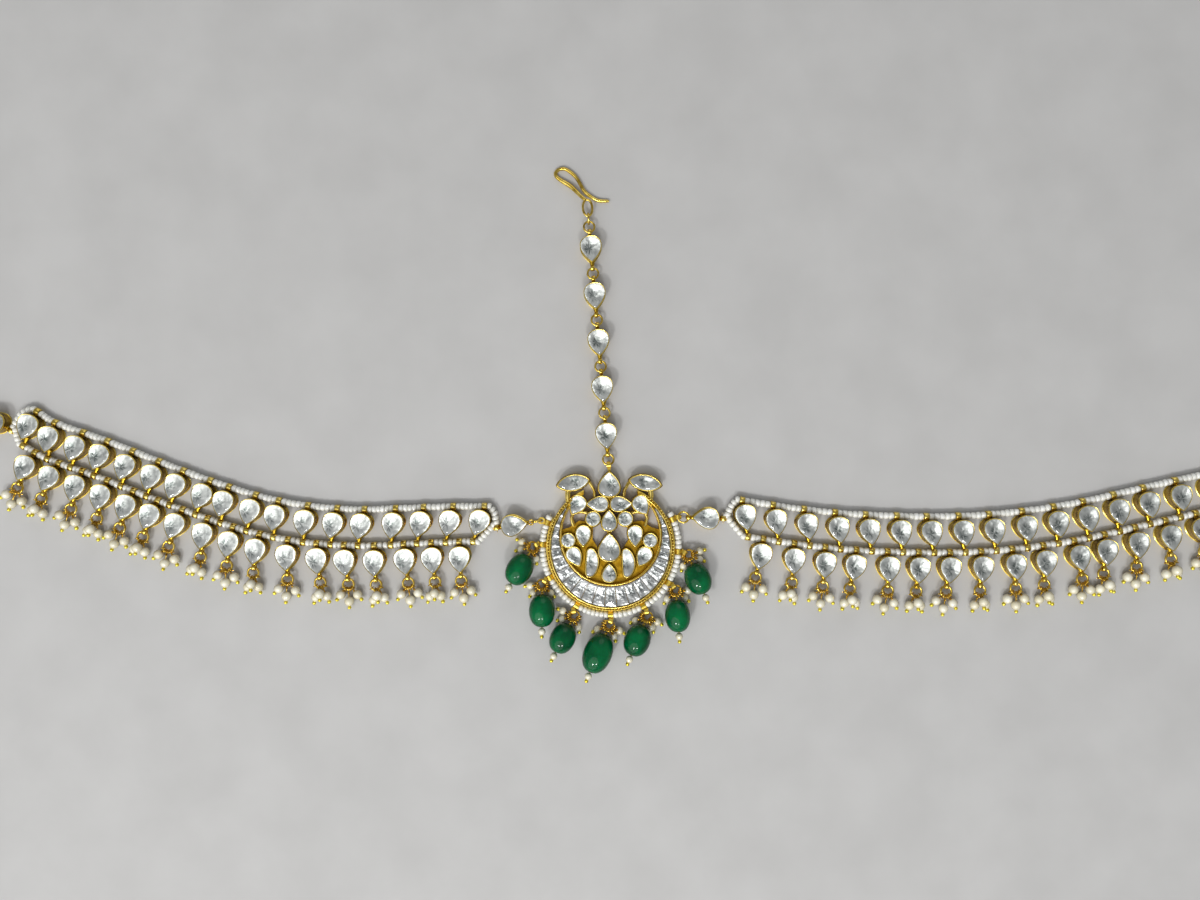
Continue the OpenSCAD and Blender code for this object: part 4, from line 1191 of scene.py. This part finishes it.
def dress_small_drops(side):
    """Under each lower setting a jump ring with three small pearls on headpins and some spare loops."""
    word, lower = SIDES[side]["word"], SIDES[side]["lower"]
    heap, rings = Heap(), []
    for i, pear in enumerate(lower):
        before, after = lower[max(i - 1, 0)], lower[min(i + 1, len(lower) - 1)]
        even = (before.angle + after.angle) / 2 - pear.angle
        turn = spin(pear.angle + even + SWINGS[i % len(SWINGS)])
        centre = pear.spot(-EYE_REACH, LINK_Z) + pear.turn @ Vector((0, -RING_R, 0))
        rings.append(ring_line(centre, X_WAY, Y_WAY, pear.angle + 200 + 40 * (i % 3), RING_WIRE + 0.08))
        for angle, share, layer in DROP_PEARLS[i % len(DROP_PEARLS)]:
            way = turn @ heading(angle - 90)
            height = PEARL_D * (1 + HEAP_SHARE * 2 * layer) / 2 + PEARL_LIFT
            at = centre - LINK_Z * UP + PEARL_REACH * share * way + height * UP
            heap.lines += pin_line(centre + RING_R * way, UP.cross(way), way, at)
            heap.add_pearl(at, way, PEARL_D)
        for angle, radius in SPARE_LOOPS:
            way = turn @ heading(angle - 90)
            heap.lines.append(pin_loop(centre + RING_R * way, UP.cross(way), way, SPARE_LOOP_WIRE, radius))
    finish_piece(f"{word}_small_drops", [
        copies(PEARL_BALL, heap.pearls, PEARL, spread=0.04, wobble=0.1, seed=31 + side),
        copies(GOLD_BALL, heap.balls, BALL_GOLD, spread=0.05, seed=7),
        wires(rings, WIRE_GOLD), wires(heap.lines, PIN_GOLD, 7)], "pearl", f"{word}_pearl_drops")


for each in (-1, 1):
    dress_strand(each)


# Pendant

def soft_power(value, power):
    return math.copysign(abs(value) ** power, value)


def stone_outline(kind, w, length, grow, count):
    """Outline of a pendant stone by kind, grown outwards, as in the model's source."""
    if kind == PEAR_KIND:
        return pear_outline(w, length, grow, count)
    w, length = w + 2 * grow, length + (3.2 if kind == LEAF_KIND else 2) * grow
    points = []
    for t in full_turn(count):
        c, s = math.cos(t), math.sin(t)
        if kind == ROUND_KIND:
            points.append((w / 2 * c, w / 2 * s))
        elif kind == LEAF_KIND:
            points.append((length / 2 * c, w / 2 * soft_power(s, 1.5)))
        else:
            points.append((w / 2 * soft_power(c, 0.8) + w / 5 * c * c - w / 10, length / 2 * s))
    return points


def dress_pendant_stones():
    """Cut stones, and the lines of the rolled gold edge and of painted shadow round each."""
    mirrored = [(kind, -x, y, w, length, (180 if kind == LEAF_KIND else 0) - turn)
                for kind, x, y, w, length, turn in PAIRED_STONES]
    stones, edges, shadow_lines = [], [], []
    for n, (kind, x, y, w, length, turn) in enumerate(MIDDLE_STONES + PAIRED_STONES + mirrored):
        place = Vector((FAN_SHIFT + x, y, 0))
        outline = stone_outline(kind, w, length, -0.18, FACET_POINTS)
        stone = faceted("fan_stone", outline, RIM_H, FAN_SEAT, FAN_CUT)
        set_shade(stone.data, (n * 0.37) % 1.0)
        stone.data.transform(Matrix.Translation(place * MM) @ spin(turn).to_4x4())
        stone.data.materials.append(KUNDAN)
        stones.append(stone)
        for lines, (grow, z, width) in ((edges, FAN_EDGE), (shadow_lines, FAN_SHADOW_LINE)):
            outline = stone_outline(kind, w, length, grow, CUP_SIDES)
            lines.append(([place + spin(turn) @ Vector((px, py, z)) for px, py in outline], width, True))
    finish_piece("fan_stones", stones, "kundan_stone", "pendant_stones")
    return edges, shadow_lines


def ray(degrees, centre_y, radius):
    """How far a circle is from the middle between the crescent's two centres."""
    d = centre_y - BOW_RISE / 2
    a = math.radians(degrees)
    return d * math.sin(a) + math.sqrt(radius ** 2 - (d * math.cos(a)) ** 2)


def on_band(degrees, share):
    """A place on the crescent's channel, from its inner to its outer edge."""
    inner = ray(degrees, BOW_RISE, BOW_R + INNER_RIM_W + 0.1)
    outer = ray(degrees, 0, CHAND_R - RIM_W - 0.1)
    return Vector((0, BOW_RISE / 2, 0)) + (inner + (outer - inner) * share) * heading(degrees)


def dress_crescent():
    """Tapered baguettes side by side in the crescent, each cut in steps and set a little uneven."""
    draw = random.Random(4)
    step = BAGUETTE_SPAN / BAGUETTES
    stones = []
    for n in range(BAGUETTES):
        a, b = BAGUETTE_START + n * step, BAGUETTE_START + (n + 1) * step
        middle = on_band((a + b) / 2, 0.5)
        inward = spin((a + b) / 2 - 90).inverted()
        lean = draw.uniform(-0.06, 0.06)
        pitch = draw.uniform(-0.05, 0.05)
        rings, uvs = [], []
        for k, (inset, edge, z) in enumerate(BAGUETTE_CUT):
            angles = [a + (b - a) * inset, (a + b) / 2, b - (b - a) * inset]
            ring = [on_band(angle, edge) for angle in angles]
            ring += [on_band(angle, 1 - edge) for angle in angles[::-1]]
            ring = [p + (RIM_H + z) * UP for p in ring]
            local = [inward @ (p - middle) for p in ring]
            uvs += [uv_of(v.x, v.y) for v in local]
            rings.append([p + (lean * v.x + pitch * v.y if k > 1 else 0.0) * UP for p, v in zip(ring, local)])
        verts, faces = lofted(rings)
        stone = mesh_object("baguette", verts, faces, smooth=False, uvs=uvs)
        set_shade(stone.data, draw.random())
        stone.data.materials.append(BAGUETTE)
        stones.append(stone)
    finish_piece("baguettes", stones, "baguette", "crescent_stones")


def dress_frame(edges, shadow_lines):
    """Rolled edges, round rims, dark lines of painted shade and the granulated wire over the cast frame."""
    outer_end = math.degrees(math.acos(RIM_END_X / (CHAND_R - RIM_W / 2)))
    inner_r = BOW_R + INNER_RIM_W / 2
    inner_end = math.degrees(math.acos(INNER_RIM_END_X / inner_r))

    def rim_line(inside, depth, thick, step=2.5):
        points = arc(ORIGIN, CHAND_R - inside, 180 - outer_end, 360 + outer_end, RIM_H - depth, step)
        return points, thick, False

    inner_lip = arc((0, BOW_RISE, 0), inner_r, 180 - inner_end, 360 + inner_end, RIM_H, 2.5)
    lines = edges + [rim_line(*RIM_LIP), rim_line(*RIM_SIDE), (inner_lip, INNER_LIP_WIRE, False)]
    for w, points in FAN_WIRES:
        for flip in (1, -1):
            bent = smooth_path([(FAN_SHIFT + flip * x, y, 2.4 - 0.25 * w) for x, y in points], 0.4)
            lines.append((bent, w * 0.96, False))
    granules = grown(GRANULES, line_source([rim_line(*GRAIN_ROW, 1.5)]), Material=GOLD,
                     Spacing=GRAIN_SPACING * MM, Ball_size=GRAIN_D * MM, Seed=2)
    bodies = wires(lines, GOLD, 10)
    # Painted shadow round each stone and painted shade along the rim, drawn as dark gold wire
    finish_piece("frame_edging", [bodies, wires(shadow_lines + [rim_line(*GROOVE_SHADE)], PAINTED_SHADE_GOLD), granules], "gold")
    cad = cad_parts["pendant_frame"]
    cad.data.materials.clear()
    cad.data.materials.append(PLATE_GOLD)


def dress_pendant_string():
    """Seed pearls round the rim, with eyelets' gaps at the lugs."""
    stops = [SIDE_LUGS[0]] + [lug for lug, way in GREEN_DROPS] + [SIDE_LUGS[1]]
    run = Run(arc(ORIGIN, STRING_R, stops[0] - STRING_END, stops[-1] + STRING_END, STRING_Z, 1.0))
    per_degree = run.total / (stops[-1] - stops[0] + 2 * STRING_END)
    marks = [(lug - stops[0] + STRING_END) * per_degree for lug in stops]
    half = EYELET_L / 2
    spans = [(marks[0] - half - END_SEEDS_L, marks[0] - half, PENDANT_SEED_L)]
    spans += [(a + half, b - half, PENDANT_SEED_L) for a, b in zip(marks, marks[1:])]
    spans.append((marks[-1] + half, marks[-1] + half + END_SEEDS_L, END_SEEDS_L))
    seeds = run.seeds(spans, random.Random(8))
    dress_string("pendant_seed_string", seeds, 12, run.points, False, "pendant_pearl_string")


dress_crescent()
dress_frame(*dress_pendant_stones())
dress_pendant_string()


# Green drops

def bead_axis(n):
    """Middle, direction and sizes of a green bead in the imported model."""
    points = loose_solids(f"green_bead_{n}")[0]
    middle = points.mean(0)
    axis = np.linalg.svd(points - middle, full_matrices=False)[2][0]
    reach = (points - middle) @ axis
    centre = middle + axis * (reach.max() + reach.min()) / 2
    if axis @ (middle[0], middle[1] - 2, 0) < 0:
        axis = -axis
    across = points - centre
    across = across - np.outer(across @ axis, axis)
    return Vector(centre), Vector(axis), 2 * np.linalg.norm(across, axis=1).max(), reach.max() - reach.min()


def dress_green_drops():
    """Tilted ring with small pearls and loops, and the green bead on its own pin."""
    heap = Heap()
    for n, (lug, ring_turn) in enumerate(GREEN_DROPS, 1):
        centre, axis, w, length = bead_axis(n)
        tilt = math.radians(RING_TILT)
        x = math.cos(tilt) * heading(ring_turn) + math.sin(tilt) * UP
        y = heading(ring_turn + 90)
        ring_at = LUG_EYE_R * heading(lug) + LINK_Z * UP + RING_R * x
        heap.lines.append(ring_line(ring_at, x, y, 140))

        def on_ring(turn):
            """Place on the ring and direction along it."""
            a = math.radians(turn - ring_turn)
            at = ring_at + RING_R * (math.cos(a) * x + math.sin(a) * y)
            return at, -math.sin(a) * x + math.cos(a) * y

        bead_turn = degrees_of(axis)
        outward = -1 if bead_turn % 360 > lug else 1
        for turn in (bead_turn + outward * a for a in CLUSTER_TURNS):
            start, tangent = on_ring(turn)
            flat = Vector((ring_at.x, ring_at.y, 0))
            at = flat + CLUSTER_REACH * heading(turn) + (CLUSTER_PEARL_D / 2 + PEARL_LIFT) * UP
            heap.lines += pin_line(start, tangent, start - ring_at, at, CLUSTER_WIRE, CLUSTER_LOOP_R)
            heap.add_pearl(at, Vector((at.x - start.x, at.y - start.y, 0)).normalized(), CLUSTER_PEARL_D)
        for a, radius in CLUSTER_LOOPS:
            start, tangent = on_ring(bead_turn + outward * a)
            heap.lines.append(pin_loop(start, tangent, start - ring_at, CLUSTER_WIRE, radius))

        start, tangent = on_ring(bead_turn)
        top = centre - axis * (length / 2)
        bottom = centre + axis * (length / 2)
        pearl_at = bottom + axis * (BEAD_GAP + TIP_PEARL_D / 2)
        tip = pearl_at + axis * (TIP_PEARL_D / 2 + BALL_D / 3)
        pin = pin_line(start, tangent, axis, top + axis * BEAD_SINK, BEAD_WIRE, BEAD_LOOP_R)
        pin.append(([bottom - axis * BEAD_SINK, tip], BEAD_WIRE, False))
        along = facing(axis)
        bead = copies(OVAL_BEAD, [(centre, along, (w, w, length))], GREEN, seed=40 + n)
        finish_piece(f"green_oval_{n}", [bead], "emerald_bead", f"green_bead_{n}")
        finish_piece(f"bead_fittings_{n}", [
            wires(pin, WIRE_GOLD), copies(PEARL_BALL, [(pearl_at, along, TIP_PEARL_D)], PEARL, seed=60 + n),
            copies(GOLD_BALL, [(tip, along, BALL_D)], BALL_GOLD)], "gold", f"bead_pin_{n}")
    finish_piece("pearl_clusters", [
        copies(PEARL_BALL, heap.pearls, PEARL, spread=0.05, wobble=0.1, seed=15),
        copies(GOLD_BALL, heap.balls, BALL_GOLD), wires(heap.lines, PIN_GOLD, 7)], "pearl", "bead_clusters")


dress_green_drops()


# Centre chain, hooks and side rings

def dress_chain():
    """Five settings, their rings and the upright ring; gives the place and the angle for the hook."""
    chain = [pears(f"chain_stone_{n}")[0] for n in range(1, 6)]
    way = (chain[-1].at - chain[0].at).normalized()
    for n, pear in enumerate(chain, 1):
        finish_piece(f"chain_cup_{n}", [
            copies(CHAIN_CUP, [(pear.at, pear.turn)], CUP_GOLD),
            copies(EYE, [(pear.spot(s * CHAIN_REACH, LINK_Z), pear.across) for s in (-1, 1)], WIRE_GOLD)],
            "gold", f"chain_setting_{n}")
        dress_stones(f"chain_cut_stone_{n}", [pear], 50 + n, f"chain_stone_{n}")
    pitch = 2 * (CHAIN_REACH + RING_R)
    first = chain[0].at - way * (pitch / 2) + LINK_Z * UP
    lines = [ring_line(first + way * pitch * i, way, crosswise(way), 60 + 50 * i) for i in range(6)]
    upright = first + way * (5 * pitch + 2 * RING_R - RING_WIRE - 0.15)
    lines.append(ring_line(upright, way, UP, 200))
    finish_piece("chain_jump_rings", [wires(lines, WIRE_GOLD, 10)], "gold", "chain_rings")
    return upright + way * (RING_R - (RING_WIRE + HOOK_EYE_WIRE) / 2 - 0.15), degrees_of(way) - 90


def dress_hook(name, start, angle, node):
    """Round wire hook with a long eye, thicker in one place and rounded off at its free end."""
    turn = spin(angle)
    middle = start + turn @ Vector((0, HOOK_EYE_Y, 0))
    middle.z = LINK_Z
    loop = [middle + turn @ Vector((HOOK_EYE_X * math.cos(t), HOOK_EYE_Y * math.sin(t), 0))
            for t in full_turn(36)]
    route = [middle + turn @ Vector(p) for p in smooth_path(HOOK_ROUTE, 0.45)]
    last = len(route) - 1
    widths = [HOOK_WIRE + HOOK_BULGE * math.exp(-((i / last - HOOK_BULGE_AT) / 0.1) ** 2)
              - 0.2 * math.exp((i - last) / 2.5) for i in range(last + 1)]
    route = [p + (w - 1) / 2 * UP for p, w in zip(route, widths)]
    finish_piece(name, [
        wires([(loop, HOOK_EYE_WIRE, True), (route, widths, False)], WIRE_GOLD, 12),
        copies(GOLD_BALL, [(route[-1], spin(0), HOOK_END_D)], WIRE_GOLD)], "gold", node)


def dress_side_rings():
    """A jump ring on each side of the pendant, upright on the left and flat on the right."""
    lines = []
    for side, strand in SIDES.items():
        near = strand["near"]
        centre = near.spot(-EYE_REACH - RING_R, LINK_Z)
        lines.append(ring_line(centre, near.way, UP if side < 0 else crosswise(near.way), 70))
    finish_piece("side_jump_rings", [wires(lines, WIRE_GOLD, 10)], "gold", "side_rings")


dress_hook("crown_hook", *dress_chain(), "hair_hook")
for strand in SIDES.values():
    end = strand["far"]
    dress_hook(f"{strand['word']}_plain_hook", end.spot(-EYE_REACH, 0), end.angle + 180,
               f"{strand['word']}_end_hook")
dress_side_rings()

for template in TEMPLATES:
    bpy.data.objects.remove(template)


# Floor, lights and camera

def pale_floor():
    mesh = bpy.data.meshes.new("floor")
    corners = [(x * FLOOR_HALF, y * FLOOR_HALF, 0) for x, y in ((-1, -1), (1, -1), (1, 1), (-1, 1))]
    mesh.from_pydata(corners, [], [(0, 1, 2, 3)])
    floor = linked("floor", mesh)
    material, tree, shader = blank_material("pale_floor", Roughness=0.9)
    tone = placed_effect(tree, TONE, Scale=0.05, Detail=4.0)["Tone"]
    feed(tree, shader, Base_Color=mixed(tree, tone, (0.5, 0.495, 0.485), (0.54, 0.535, 0.525)))
    mesh.materials.append(material)


def studio():
    """Soft lights from the front and a low one from behind, in a pale even surround."""
    world = bpy.data.worlds.new("studio")
    world.use_nodes = True
    background = world.node_tree.nodes["Background"]
    background.inputs["Color"].default_value = (0.97, 0.98, 1.0, 1)
    background.inputs["Strength"].default_value = WORLD_STRENGTH
    bpy.context.scene.world = world
    bpy.context.scene.view_settings.view_transform = "Standard"
    for name, (place, size, power) in SOFTBOXES.items():
        light = bpy.data.lights.new(name, "AREA")
        light.shape = "DISK"
        light.size = size
        light.energy = power
        box = linked(name, light)
        box.location = place
        box.rotation_euler = (AIM - Vector(place)).to_track_quat("-Z", "Y").to_euler()


def overhead_camera():
    lens = bpy.data.cameras.new("camera")
    lens.sensor_width = 36
    lens.lens = LENS
    lens.clip_start = 0.01
    camera = linked("camera", lens)
    camera.location = CAMERA_AT
    bpy.context.scene.camera = camera


pale_floor()
studio()
overhead_camera()
